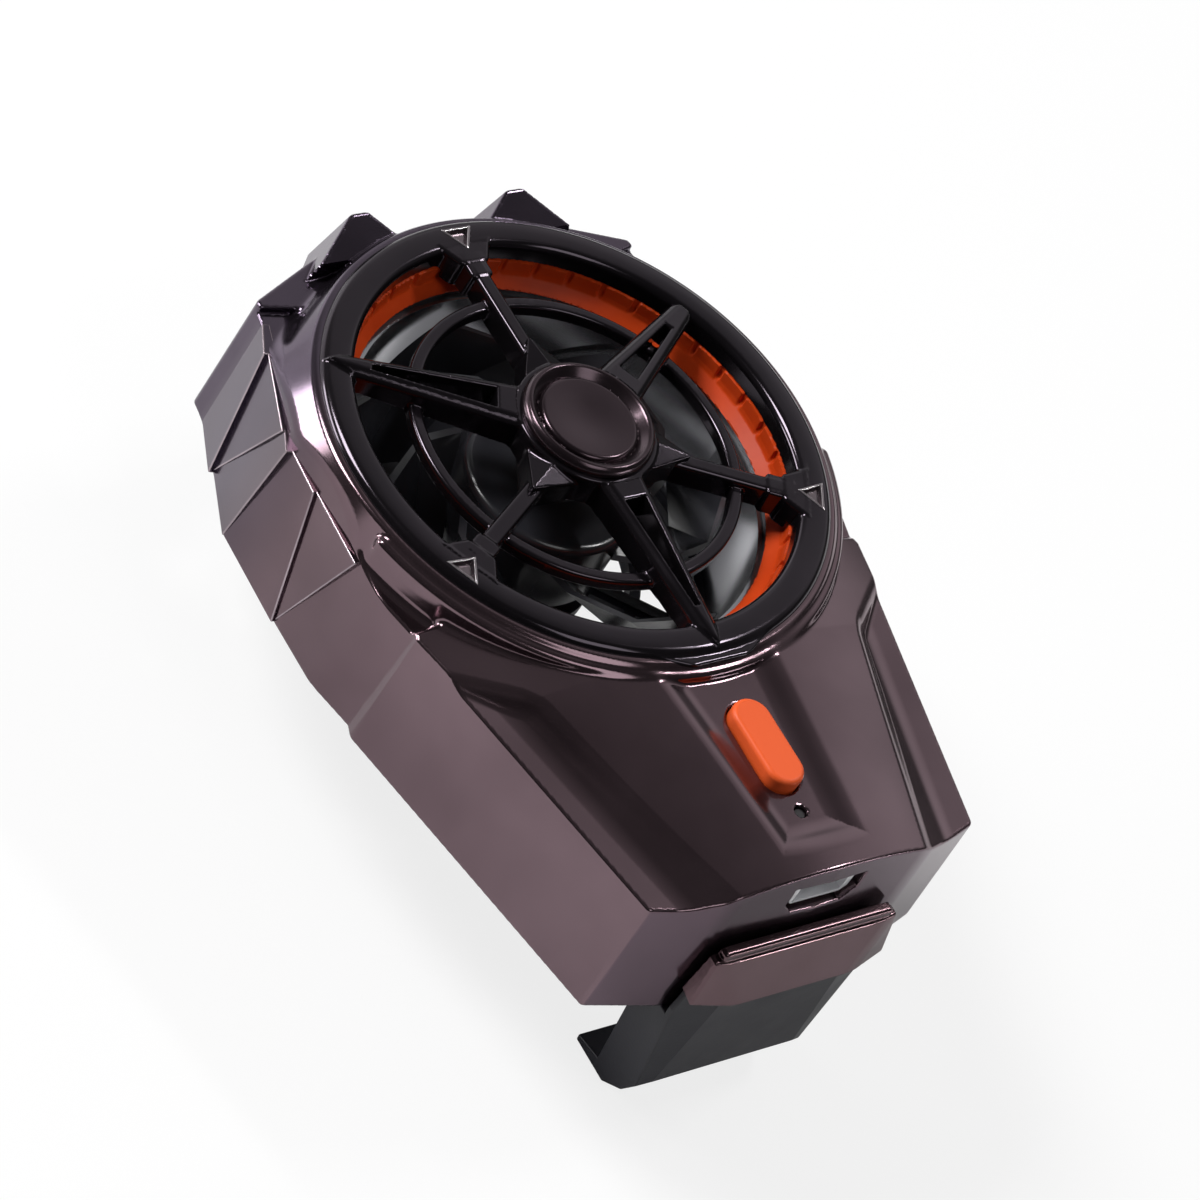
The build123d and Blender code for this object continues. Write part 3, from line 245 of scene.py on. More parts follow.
def smooth_piece(name, field, box, step, share, mat):
    """A mesh object of the field inside the box, keeping share of its faces."""
    points, quads = skin(field, *box, step)
    o = bpy.data.objects.new(name, mesh_of_quads(name, points, quads))
    bpy.context.collection.objects.link(o)
    mesh = thin_out(o, share)
    points = np.empty(3 * len(mesh.vertices))
    mesh.vertices.foreach_get("co", points)
    points = points.reshape(-1, 3)
    normals = corner_normals(field, mesh, points)
    placed = (points + np.array([0, SHIFT, RAISE])) / MM
    mesh.vertices.foreach_set("co", placed.ravel())
    mesh.polygons.foreach_set("use_smooth", np.ones(len(mesh.polygons), bool))
    mesh.normals_split_custom_set(normals.tolist())
    mesh.update()
    mesh.materials.append(mat)
    return o


def crisp_piece(name, solids, width, mat, bevel_highlight_mat):
    """Closed solids between an outer and an inner face of equal corner count, edges bevelled in a second
    material, a painted edge highlight.
    """
    points = []
    faces = []
    for outer, inner in solids:
        n = len(outer)
        first = len(points)
        points += outer + inner
        faces.append([first + i for i in range(n)])
        faces.append([first + n + i for i in reversed(range(n))])
        for i in range(n):
            j = (i + 1) % n
            faces.append([first + j, first + i, first + n + i, first + n + j])
    mesh = bpy.data.meshes.new(name)
    placed = [(x / MM, (y + SHIFT) / MM, (z + RAISE) / MM) for x, y, z in points]
    mesh.from_pydata(placed, [], faces)
    mesh.validate()
    work = bmesh.new()
    work.from_mesh(mesh)
    bmesh.ops.recalc_face_normals(work, faces=work.faces)
    work.to_mesh(mesh)
    work.free()
    mesh.polygons.foreach_set("use_smooth", [True] * len(mesh.polygons))
    o = bpy.data.objects.new(name, mesh)
    bpy.context.collection.objects.link(o)
    bevel = o.modifiers.new("round", "BEVEL")
    bevel.width = width / MM
    bevel.segments = CRISP_SEGMENTS
    bevel.limit_method = "ANGLE"
    bevel.angle_limit = math.radians(CRISP_ANGLE)
    bevel.harden_normals = True
    # The bevels take the second material, a lighter plating that paints a highlight on the edges
    bevel.material = 1
    mesh.materials.append(mat)
    mesh.materials.append(bevel_highlight_mat)
    return o


# Plan of the casing, right half; the left half mirrors it

BACK = -20.3
WALL = 1.8
LEAN = math.tan(math.radians(2.0))
HALF_WIDTH = 29.45
NECK = (24.4, 22.5)
WIDEST = (HALF_WIDTH, 7.5)
WAIST = (28.15, -15.45)
WAIST_OUT = (28.6, -16.65)
TAPER = (28.55, -16.6)
END_CORNER = (21.0, -50.3)
END_BEND = (12.3, -52.7)
END_MIDDLE = (0.0, -53.0)
BACK_CORNER = (24.1, 24.9)
BACK_BEND = (15.9, 28.4)
BACK_WALL = 28.75
BACK_WALL_LEAN = 0.6
STRIP_FOOT = 19.5
CHAMFER_FRONT = -11.6
CHAMFER_BACK = -9.7
CHAMFER_RISE = 0.255
CHAMFER_UNIT = 0.969
SHOULDER = -5.0
WALL_HEIGHT = 15.3


def casing_walls(x, y, z):
    """The drafted side walls under the plates."""
    lean = LEAN * (z - BACK)
    slant = side_of(x, y, NECK, WIDEST) + lean
    flat_side = x - HALF_WIDTH + lean
    corner = CHAMFER_FRONT + (CHAMFER_BACK - CHAMFER_FRONT) * (SHOULDER - z) / WALL_HEIGHT
    chamfer = (x - HALF_WIDTH + CHAMFER_RISE * (corner - y)) * CHAMFER_UNIT + lean
    upper = cut_round(cut_round(slant, flat_side, 0.4), chamfer, 0.3)
    waist = side_of(x, y, WAIST, WAIST_OUT)
    lower = cut_round(waist, side_of(x, y, TAPER, END_CORNER), 0.25) + lean
    return join_round(upper, lower, 0.05)


def casing_plan(x, y, z):
    """The walls and both ends."""
    lean = LEAN * (z - BACK)
    f = casing_walls(x, y, z)
    strip = cut_round(side_of(x, y, BACK_CORNER, NECK) + lean, STRIP_FOOT - y, 0.2)
    f = join_round(f, strip, 0.15)
    f = cut_round(f, side_of(x, y, BACK_BEND, BACK_CORNER) + lean, 0.35)
    f = cut_round(f, y - BACK_WALL + BACK_WALL_LEAN * lean, 0.35)
    f = cut_round(f, side_of(x, y, END_CORNER, END_BEND) + lean, 0.35)
    return cut_round(f, side_of(x, y, END_BEND, END_MIDDLE) + lean, 0.3)


# Front of the socket end: an arch, a recess on each side and the button's panel

LOWER_START = -15.7
ARCH_START = -26.5
ARCH_RUN = 28.5
ARCH_CROWN = -1.2
ARCH_FALL = 0.65
ARCH_FLAT = 1 / 230
ARCH_ROUND = 1 / 96
ARCH_UNIT = 0.97
RECESS_LOW = -6.65
RECESS_LOW_AT = (20.8, -49.8)
RECESS_ACROSS = 0.40
RECESS_ALONG = 0.10
RECESS_HEAD = ((21.2, -27.2), (27.6, -23.4))
RECESS_SIDE = ((12.2, -52.3), (21.2, -27.2))
FLOOR_UNIT = 0.94
RAMP_UNIT = 0.68
PANEL_HEAD = -27.5
PANEL_FOOT = -49.0
PANEL_RUN = 21.5
PANEL_HEAD_HALF = 7.2
PANEL_FOOT_HALF = 4.9
PANEL_DEPTH = 0.95
PANEL_RIM = 1.9
PANEL_SLOPE = 0.5
PANEL_UNIT = 0.88


def arch(x, y):
    """Height of the arched front."""
    t = np.clip((ARCH_START - y) / ARCH_RUN, 0, 1)
    crown = ARCH_CROWN - ARCH_FALL * t
    curve = ARCH_FLAT + (ARCH_ROUND - ARCH_FLAT) * t
    return crown - curve * x * x


def recess_floor(x, y):
    """Height of the sunk flat beside the arch."""
    across = x - RECESS_LOW_AT[0]
    along_y = y - RECESS_LOW_AT[1]
    return RECESS_LOW - RECESS_ACROSS * across + RECESS_ALONG * along_y


def panel_half(y):
    """Half width of the button's panel."""
    return PANEL_HEAD_HALF + (PANEL_FOOT_HALF - PANEL_HEAD_HALF) * (PANEL_HEAD - y) / PANEL_RUN


def lower_front(x, y, z):
    """The arched front of the socket end, with its side recesses and the button's panel."""
    f = (z - arch(x, y)) * ARCH_UNIT
    h = z - recess_floor(x, y)
    floor = h * FLOOR_UNIT
    for line in (RECESS_HEAD, RECESS_SIDE):
        floor = join_round(floor, (h - side_of(x, y, *line)) * RAMP_UNIT, 0.45)
    f = cut_round(f, floor, 0.6)
    down = z - (arch(0.0, y) - PANEL_DEPTH)
    edge = np.maximum(x - (panel_half(y) - PANEL_RIM), -(y - PANEL_FOOT - PANEL_RIM))
    panel = join_round(down, (down - edge * PANEL_SLOPE) * PANEL_UNIT, 0.5)
    return cut_round(f, panel, 0.55)


# Front of the fan end: shoulders, band, the turret's skirt and a collar below it

BAND = -4.2
BAND_EDGE = 23.7
BAND_SLANT = 0.22
SKIRT_RADIUS = 28.1
SKIRT_AT = -0.85
SKIRT_TOP = -0.75
SKIRT_TILT = 0.30
SKIRT_MORE_TILT = 0.28
SKIRT_SWEEP = 1.0
SKIRT_MORE_SWEEP = 0.4
TURN_START = -8.0
TURN_RUN = 12.0
BEHIND_START = 17.0
BEHIND_RUN = 8.0
COLLAR_RADIUS = 29.3
COLLAR_TOP = -1.3
COLLAR_END = -6.2


def casing_front(x, y, z):
    """The front's height over the whole casing."""
    r = np.hypot(x, y)
    band_side = BAND_EDGE - BAND_SLANT * (BACK_CORNER[0] - x) - y
    band = cut_round(z - BAND, band_side, 0.3)
    low = cut_round(lower_front(x, y, z), y - LOWER_START, 0.5)
    f = join_round(z - SHOULDER, low, 0.45)
    f = join_round(f, band, 0.2)
    turn = ease((y - TURN_START) / TURN_RUN)
    turn = turn * (1 - ease((y - BEHIND_START) / BEHIND_RUN))
    tilt = SKIRT_TILT + SKIRT_MORE_TILT * turn
    cone = (r - SKIRT_RADIUS) * np.sqrt(1 - tilt**2) + (z - SKIRT_AT) * tilt
    skirt = cut_round(cone, z - SKIRT_TOP, 0.35)
    f = join_round(f, skirt, SKIRT_SWEEP + SKIRT_MORE_SWEEP * turn)
    collar = cut_round(r - COLLAR_RADIUS, z - COLLAR_TOP, 0.7)
    collar = cut_round(collar, y - COLLAR_END, 1.2)
    return join_round(f, collar, 0.45)


# The hollow of the casing

INNER_SHOULDER = -6.8
INNER_BACK = 28.4
INNER_NECK_BACK = (24.4, 24.7)
INNER_SIDE_END = (HALF_WIDTH, -10.4)
INNER_WAIST = (28.15, -15.5)
INNER_RECESS_EDGE = 1.2
INNER_PANEL_RIM = 1.5
INNER_PANEL_FOOT = -47.4


def inner_form(x, y, z):
    """The space inside the walls, before the bore and the openings."""
    f = np.maximum(side_of(x, y, NECK, WIDEST), x - HALF_WIDTH)
    f = np.maximum(f, side_of(x, y, INNER_SIDE_END, INNER_WAIST))
    taper = side_of(x, y, TAPER, END_CORNER)
    f = np.minimum(f, np.maximum(side_of(x, y, INNER_WAIST, TAPER), taper))
    f = np.maximum(f, side_of(x, y, BACK_BEND, INNER_NECK_BACK))
    f = np.maximum(f, y - INNER_BACK)
    f = np.maximum(f, side_of(x, y, END_CORNER, END_BEND))
    f = np.maximum(f, side_of(x, y, END_BEND, END_MIDDLE))
    f = f + (LEAN * (z - BACK) + WALL)
    low = np.maximum(z - arch(x, y) + WALL, y - LOWER_START)
    ramp = np.maximum(side_of(x, y, *RECESS_HEAD), side_of(x, y, *RECESS_SIDE))
    ramp = np.maximum(ramp + INNER_RECESS_EDGE, 0)
    low = np.maximum(low, z - recess_floor(x, y) + WALL - ramp)
    down = z - (arch(0.0, y) - PANEL_DEPTH) + WALL
    edge = np.maximum(x - panel_half(y) + INNER_PANEL_RIM, -(y - INNER_PANEL_FOOT))
    low = np.maximum(low, down - PANEL_SLOPE * np.maximum(edge, 0))
    return np.maximum(f, np.minimum(z - INNER_SHOULDER, low))


# The two horns at the fan end

HORN_TOP = -0.3
HORN_FOOT = -6.8
HORN_INNER = ((5.9, 27.2), (8.7, 30.1))
HORN_OUTER = ((10.9, 30.1), (13.9, 27.2))
HORN_SIDE_DRAFT = 0.34
HORN_OUTER_SHARE = 0.8
HORN_BACK = 30.1
HORN_BACK_DRAFT = 0.12
HORN_ROOT = 26.0
HORN_RIDGE = 29.4
HORN_RISE = 0.56
HORN_UNIT = 0.87


def horn_field(x, y, z):
    down = z - HORN_TOP
    draft = HORN_SIDE_DRAFT * down
    inner = side_of(x, y, *HORN_INNER) + draft
    outer = side_of(x, y, *HORN_OUTER) + HORN_OUTER_SHARE * draft
    f = cut_round(inner, outer, 0.3)
    f = cut_round(f, y - HORN_BACK + HORN_BACK_DRAFT * down, 0.25)
    f = cut_round(f, (down + HORN_RISE * (HORN_RIDGE - y)) * HORN_UNIT, 0.3)
    f = np.maximum(f, HORN_ROOT - y)
    return cut_round(f, -(z - HORN_FOOT), 0.2)


# The whole casing with its bore, the grille's seat and its openings

BORE = 25.2
SEAT_RADIUS = 27.2
SEAT_FLOOR = -2.4
BUTTON_AT = -37.7
BUTTON_STRAIGHT = 3.0
BUTTON_HOLE = 2.3
LIGHT_AT = -45.1
LIGHT_HOLE = 0.7
SOCKET_HALF = 4.5
SOCKET_TOP = -4.1
SOCKET_BEND = -6.5
SOCKET_FOOT = -8.1
SOCKET_TAPER = 0.87
SOCKET_BACK = -49.0
SLIDE_HALF = 8.15
SLIDE_AT = -17.5
SLIDE_HALF_HEIGHT = 1.05
SLIDE_BACK = -49.4
CASING_BOX = ((-31, -54, -21.2), (31, 31, 0.6))


def socket_opening(x, y, z):
    """The charging socket's hole, narrower toward its foot."""
    half = np.where(z > SOCKET_BEND, SOCKET_HALF, SOCKET_HALF - SOCKET_TAPER * (SOCKET_BEND - z))
    across = np.maximum(x - half, z - SOCKET_TOP)
    return np.maximum(across, np.maximum(SOCKET_FOOT - z, y - SOCKET_BACK))


def casing_field(x, y, z):
    ax = np.abs(x)
    r = np.hypot(x, y)
    f = cut_round(casing_plan(ax, y, z), casing_front(ax, y, z), 0.3)
    f = join_round(f, horn_field(ax, y, z), 0.3)
    f = np.maximum(f, -inner_form(ax, y, z))
    f = cut_round(f, BACK - z, 0.25)
    f = np.maximum(f, BORE - r)
    f = np.maximum(f, -np.maximum(r - SEAT_RADIUS, -(z - SEAT_FLOOR)))
    button = np.hypot(x, np.maximum(np.abs(y - BUTTON_AT) - BUTTON_STRAIGHT, 0)) - BUTTON_HOLE
    f = cut_round(f, -button, 0.22)
    f = cut_round(f, LIGHT_HOLE - np.hypot(x, y - LIGHT_AT), 0.15)
    f = cut_round(f, -socket_opening(ax, y, z), 0.15)
    slide = np.maximum(ax - SLIDE_HALF, np.abs(z - SLIDE_AT) - SLIDE_HALF_HEIGHT)
    return np.maximum(f, -np.maximum(slide, y - SLIDE_BACK))


# Spokes of the grille: three wide slotted swords and three thin rods between them

SPOKES = 3
SPOKE_TURN = 360 / SPOKES
SWORD_ANGLE = 30
SWORD_BACK = -2.2
SWORD_HALF = 3.3
SWORD_TAPER = 0.0854
SWORD_TOP = 1.4
SWORD_FALL = 0.047
SWORD_FALL_FROM = 7.6
SWORD_TIP = 26.9
SWORD_SHORT = 23.5
SWORD_TIP_ROUND = 0.25
SWORD_SHORT_ROUND = 1.0
SHORT_SWORD_WAY = (0.866, 0.5)
SHORT_SWORD_SPREAD = 0.5
SWORD_POINT = (2.3, 1.2)
SWORD_SIDE_UNIT = 0.996
SWORD_BEVEL = 0.75
SWORD_BEVEL_SLOPE = 0.8
SWORD_BEVEL_UNIT = 0.781
SLOT_START = 9.6
SLOT_END = 22.4
SLOT_HALF = 1.25
SLOT_TAPER = 0.073
SHORT_SLOT_END = 19.4
SHORT_SLOT_HALF = 1.05
ROD_ANGLE = 90
ROD_HALF = 0.95
ROD_TOP = -0.2
ROD_BACK = -3.0
ROD_END = 25.0
PAD_START = 21.9
PAD_END = 24.6
PAD_HALF = 1.75
PAD_FLARE = 0.62
PAD_FLARE_FROM = 22.0
PAD_UNIT = 0.85
PAD_TOP = -0.02
PAD_BACK = -3.4
PAD_NECK_HALF = 1.35
PAD_NECK_START = 20.2
PAD_NECK_END = 23
PAD_NECK_TOP = -0.12
PAD_NECK_BACK = -3.2
STAR_TIP = 11.6
STAR_POINT = (4.2, 2.7)
STAR_TOP = 0.55
STAR_RISE = 0.12
STAR_RIDGE = 0.34
STAR_UNIT = 0.93
STAR_BACK = -2.8


def along(x, y, degrees):
    """Distance along and across the nearest of three spokes, the first at this angle."""
    best = None
    for k in range(SPOKES):
        a = math.radians(degrees + SPOKE_TURN * k)
        u = x * math.cos(a) + y * math.sin(a)
        v = y * math.cos(a) - x * math.sin(a)
        if best is None:
            best = [u, v]
        else:
            more = u > best[0]
            best = [np.where(more, u, best[0]), np.where(more, v, best[1])]
    return best


def sword_field(u, v, z, short):
    """A slotted spoke; where short is true it ends round inside the ring."""
    av = np.abs(v)
    half = SWORD_HALF - SWORD_TAPER * u
    top = z - (SWORD_TOP - SWORD_FALL * (u - SWORD_FALL_FROM))
    run, rise = SWORD_POINT
    point = (av * run + u * rise - SWORD_TIP * rise) / math.hypot(run, rise)
    point = np.where(short, u - SWORD_SHORT, point)
    end_round = np.where(short, SWORD_SHORT_ROUND, SWORD_TIP_ROUND)
    f = cut_round((av - half) * SWORD_SIDE_UNIT, point, end_round)
    bevel = ((av - half + SWORD_BEVEL) * SWORD_BEVEL_SLOPE + top) * SWORD_BEVEL_UNIT
    f = cut_round(f, cut_round(top, bevel, 0.2), 0.3)
    f = np.maximum(f, -(z - SWORD_BACK))
    slot_half = np.where(short, SHORT_SLOT_HALF, SLOT_HALF)
    slot_side = av - slot_half + SLOT_TAPER * (u - SLOT_START)
    slot_ends = np.maximum(SLOT_START - u, u - np.where(short, SHORT_SLOT_END, SLOT_END))
    return cut_round(f, -np.maximum(slot_side, slot_ends), 0.3)


def rod_field(u, v, z):
    """A thin spoke with its pad at the ring and its star point at the hub."""
    av = np.abs(v)
    rod = cut_round(av - ROD_HALF, z - ROD_TOP, 0.5)
    rod = np.maximum(np.maximum(rod, -(z - ROD_BACK)), u - ROD_END)
    flare = (av - PAD_HALF - PAD_FLARE * (u - PAD_FLARE_FROM)) * PAD_UNIT
    pad = cut_round(flare, PAD_START - u, 0.3)
    pad = cut_round(pad, z - PAD_TOP, 0.4)
    pad = np.maximum(np.maximum(pad, -(z - PAD_BACK)), u - PAD_END)
    neck = cut_round(av - PAD_NECK_HALF, PAD_NECK_START - u, 0.3)
    neck = cut_round(neck, z - PAD_NECK_TOP, 0.3)
    neck = np.maximum(np.maximum(neck, -(z - PAD_NECK_BACK)), u - PAD_NECK_END)
    pad = join_round(pad, neck, 0.2)
    run, rise = STAR_POINT
    star = (av * run + (u - STAR_TIP) * rise) / math.hypot(run, rise)
    star_top = z - STAR_TOP - STAR_RISE * (STAR_TIP - u) + STAR_RIDGE * av
    star = cut_round(star, star_top * STAR_UNIT, 0.14)
    star = np.maximum(star, -(z - STAR_BACK))
    return np.minimum(join_round(rod, pad, 0.25), star)


# The grille's rings, with a three-sided cup at each rod's end

RING_OUTER = 27.5
RING_INNER = 23.9
RING_CREST = 25.6
RING_CROWN = 0.045
RING_BACK = -2.4
CHIN_HALF = 6.6
CHIN_SLANT = 1.94
CHIN_UNIT = 2.18
CHIN_START = -26.7
CHIN_END = -28.3
CHIN_TOP = -0.55
CHIN_BACK = -1.05
CHIN_ROOT = -25
SUPPORT_RADIUS = 17.3
SUPPORT_HALF = 0.7
SUPPORT_AT = -1.9
SUPPORT_HALF_HEIGHT = 0.8
RING_HOLE = 23.45
CUP_BASE = 26.35
CUP_TIP = 23.5
CUP_LENGTH = CUP_BASE - CUP_TIP
CUP_HALF = 1.85
CUP_SLANT = math.hypot(CUP_LENGTH, CUP_HALF)
CUP_BASE_OVERLAP = 0.12
CUP_SIDE_OVERLAP = 0.1
CUP_FLOOR = -0.95
HUB_COLLAR = 7.6
HUB_COLLAR_TOP = 1.2
HUB_COLLAR_CLEAR = 7.7
HUB_SEAT = 5.5
HUB_SEAT_FLOOR = -1.3
GRILLE_BOX = ((-28.5, -29, -3.9), (28.5, 28.5, 2.6))


def ring_field(x, y, z):
    """The outer ring with the chin that carries it over the casing."""
    r = np.hypot(x, y)
    ring = cut_round(r - RING_OUTER, z + RING_CROWN * (r - RING_CREST) ** 2, 0.95)
    ring = cut_round(ring, RING_INNER - r, 0.75)
    ring = np.maximum(ring, -(z - RING_BACK))
    side = (np.abs(x) - CHIN_HALF + (CHIN_START - y) * CHIN_SLANT) / CHIN_UNIT
    chin = cut_round(side, CHIN_END - y, 0.3)
    chin = cut_round(chin, z - CHIN_TOP, 0.3)
    chin = np.maximum(np.maximum(chin, -(z - CHIN_BACK)), y - CHIN_ROOT)
    return join_round(ring, chin, 0.25)


def grille_field(x, y, z):
    r = np.hypot(x, y)
    support = np.abs(r - SUPPORT_RADIUS) - SUPPORT_HALF
    support = cut_round(support, np.abs(z - SUPPORT_AT) - SUPPORT_HALF_HEIGHT, 0.4)
    f = np.minimum(ring_field(x, y, z), support)
    u, v = along(x, y, ROD_ANGLE)
    f = join_round(f, rod_field(u, v, z), 0.2)
    f = np.maximum(f, np.minimum(r - RING_HOLE, -z + RING_BACK))
    cup_side = (np.abs(v) * CUP_LENGTH - (u - CUP_TIP) * CUP_HALF) / CUP_SLANT
    cup = np.maximum(u - CUP_BASE + CUP_BASE_OVERLAP, cup_side + CUP_SIDE_OVERLAP)
    f = np.maximum(f, -np.maximum(cup, -(z - CUP_FLOOR)))
    u, v = along(x, y, SWORD_ANGLE)
    short = x * SHORT_SWORD_WAY[0] + y * SHORT_SWORD_WAY[1] > SHORT_SWORD_SPREAD * r
    f = join_round(f, sword_field(u, v, z, short), 0.3)
    collar = cut_round(r - HUB_COLLAR, z - HUB_COLLAR_TOP, 0.25)
    f = join_round(f, np.maximum(collar, -(z - SWORD_BACK)), 0.3)
    f = np.maximum(f, -np.maximum(r - HUB_SEAT, -(z - HUB_SEAT_FLOOR)))
    return np.maximum(f, -np.maximum(r - HUB_COLLAR_CLEAR, HUB_COLLAR_TOP - z))


# The hub's cap: a rim round a bare hollow disc

HUB_RADIUS = 7.1
HUB_TOP = 2.5
HUB_BEVEL = (6.6, 2.3)
HUB_BEVEL_UNIT = 0.7
HUB_PLUG = 5.3
HUB_BACK = -1.2
HOLLOW_RADIUS = 6.45
HOLLOW_FLOOR = 1.35
HOLLOW_UNIT = 0.707
DISC_RADIUS = 5.25
DISC_TOP = 1.95
DISC_DISH = 0.3
DISC_DISH_RADIUS = 3.6
HUB_BOX = ((-7.8, -7.8, -1.8), (7.8, 7.8, 3.2))


def hub_field(x, y, z):
    r = np.hypot(x, y)
    bevel = (r - HUB_BEVEL[0] + z - HUB_BEVEL[1]) * HUB_BEVEL_UNIT
    rim = cut_round(cut_round(r - HUB_RADIUS, z - HUB_TOP, 0.45), bevel, 0.3)
    rim = np.maximum(rim, np.minimum(r - HUB_PLUG, HUB_COLLAR_TOP - z))
    hollow = (r - HOLLOW_RADIUS - (z - HUB_TOP)) * HOLLOW_UNIT
    f = cut_round(rim, -cut_round(hollow, HOLLOW_FLOOR - z, 0.15), 0.35)
    dish = DISC_DISH * np.exp(-((r / DISC_DISH_RADIUS) ** 2))
    disc = cut_round(r - DISC_RADIUS, z - DISC_TOP + dish, 0.5)
    f = join_round(f, disc, 0.08)
    return np.maximum(f, -(z - HUB_BACK))


# The plated pull tab on the sliding claw

TAB_HALF = 11.6
TAB_TOP = -11.6
TAB_SIDE_DRAFT = 0.14
FACET_DRAFT = 0.1
FACET_AT = -54.1
FACET_FALL = 0.16
FACET_TURN = (0.5, 2.0)
FACET_UNIT = 2.06
LIP_TOP = -10.4
LIP_FRONT = -54.05
LIP_HALF = 10.7
FACE_FRONT = -54.3
FACE_TOP = -11.5
FACE_TURN = (0.95, 0.313)
BODY_TOP = -11.3
TAB_FOOT = -17.1
TAB_FOOT_AT = -55.4
TAB_FOOT_SLOPE = 0.2
TAB_BACK = -53.0
TAB_INNER_FRONT = -54.15
TAB_INNER_TURN = (0.988, 0.155)
TAB_INNER_HALF = 8.6
TAB_INNER_GAP = 0.02
TAB_BOX = ((-12.8, -57, -18), (12.8, -52.6, -9.8))


def tab_field(x, y, z):
    ax = np.abs(x)
    drop = TAB_TOP - z
    facet = (ax - TAB_HALF - FACET_DRAFT * drop) * FACET_TURN[0]
    facet = (facet - (y - FACET_AT + FACET_FALL * drop) * FACET_TURN[1]) / FACET_UNIT
    lip = cut_round(z - LIP_TOP, -(y - LIP_FRONT), 0.42)
    lip = cut_round(lip, ax - LIP_HALF, 0.4)
    face = -(y - FACE_FRONT) * FACE_TURN[0] + (z - FACE_TOP) * FACE_TURN[1]
    body = cut_round(face, z - BODY_TOP, 0.35)
    body = cut_round(body, facet, 0.25)
    body = cut_round(body, ax - TAB_HALF - TAB_SIDE_DRAFT * drop, 0.25)
    f = join_round(lip, body, 0.12)
    f = cut_round(f, -(z - TAB_FOOT) + TAB_FOOT_SLOPE * (y - TAB_FOOT_AT), 0.3)
    f = np.maximum(f, y - TAB_BACK)
    front = -(y - TAB_INNER_FRONT) * TAB_INNER_TURN[0] + (z - TAB_TOP) * TAB_INNER_TURN[1]
    inside = np.maximum(np.maximum(z - TAB_TOP, front), ax - TAB_INNER_HALF)
    return np.maximum(f, -(inside - TAB_INNER_GAP))


# The orange ring: blocks over a smooth sloped band

BLOCK_COUNT = 40
BLOCK_PITCH = 3.7
BLOCK_HALF = 1.55
BLOCK_FACE = 23.7
BLOCK_FOOT = -4.1
GLOW_WALL = 24.05
GLOW_SLOPE_AT = (23.9, -4.0)
GLOW_SLOPE = 1.2
GLOW_UNIT = 0.64
GLOW_HOLE = 22.0
GLOW_OUTER = 25.05
GLOW_AT = -3.91
GLOW_HALF_HEIGHT = 1.49
GLOW_BOX = ((-25.6, -25.6, -5.7), (25.6, 25.6, -2.2))


def light_ring_field(x, y, z):
    r = np.hypot(x, y)
    angle = np.arctan2(y, x) * BLOCK_COUNT / (2 * math.pi)
    across = np.abs(angle - np.round(angle)) * BLOCK_PITCH
    blocks = cut_round(BLOCK_FACE - r, across - BLOCK_HALF, 0.16)
    blocks = cut_round(blocks, -(z - BLOCK_FOOT), 0.16)
    upper = join_round(GLOW_WALL - r, blocks, 0.1)
    slope = (GLOW_SLOPE_AT[0] - r + (z - GLOW_SLOPE_AT[1]) * GLOW_SLOPE) * GLOW_UNIT
    low = cut_round(slope, GLOW_HOLE - r, 0.35)
    f = join_round(upper, low, 0.4)
    f = np.maximum(f, r - GLOW_OUTER)
    return np.maximum(f, np.abs(z - GLOW_AT) - GLOW_HALF_HEIGHT)


# Materials

CLOUD_ROUGHNESS = 0.55
CLOUD_LOW = 0.3
CLOUD_HIGH = 0.7
COLOUR_DETAIL = 4.0
ROUGH_DETAIL = 3.0
GRAIN_DETAIL = 2.0


def node(m, kind, **values):
    n = m.node_tree.nodes.new(kind)
    for key, value in values.items():
        setattr(n, key, value)
    return n


def link(m, a, b):
    m.node_tree.links.new(a, b)


def surface_of(m):
    return m.node_tree.nodes["Principled BSDF"]


def cloud(m, scale, detail):
    """Noise that stays with the object."""
    place = node(m, "ShaderNodeTexCoord")
    noise = node(m, "ShaderNodeTexNoise")
    noise.inputs["Scale"].default_value = scale
    noise.inputs["Detail"].default_value = detail
    noise.inputs["Roughness"].default_value = CLOUD_ROUGHNESS
    link(m, place.outputs["Object"], noise.inputs["Vector"])
    return noise


def vary_colour(m, scale, low, high):
    """Clouds between two colours."""
    noise = cloud(m, scale, COLOUR_DETAIL)
    ramp = node(m, "ShaderNodeValToRGB")
    for stop, place, colour in zip(ramp.color_ramp.elements, (CLOUD_LOW, CLOUD_HIGH), (low, high)):
        stop.position = place
        stop.color = (*colour, 1)
    link(m, noise.outputs["Fac"], ramp.inputs["Fac"])
    link(m, ramp.outputs["Color"], surface_of(m).inputs["Base Color"])


def vary_rough(m, scale, low, high):
    """Clouds between two roughnesses."""
    noise = cloud(m, scale, ROUGH_DETAIL)
    span = node(m, "ShaderNodeMapRange")
    span.inputs["From Min"].default_value = CLOUD_LOW
    span.inputs["From Max"].default_value = CLOUD_HIGH
    span.inputs["To Min"].default_value = low
    span.inputs["To Max"].default_value = high
    link(m, noise.outputs["Fac"], span.inputs["Value"])
    link(m, span.outputs["Result"], surface_of(m).inputs["Roughness"])


def grain(m, scale, distance, strength):
    """A fine moulded texture, its distance in metres."""
    noise = cloud(m, scale, GRAIN_DETAIL)
    bump = node(m, "ShaderNodeBump")
    bump.inputs["Strength"].default_value = strength
    bump.inputs["Distance"].default_value = distance
    link(m, noise.outputs["Fac"], bump.inputs["Height"])
    link(m, bump.outputs["Normal"], surface_of(m).inputs["Normal"])


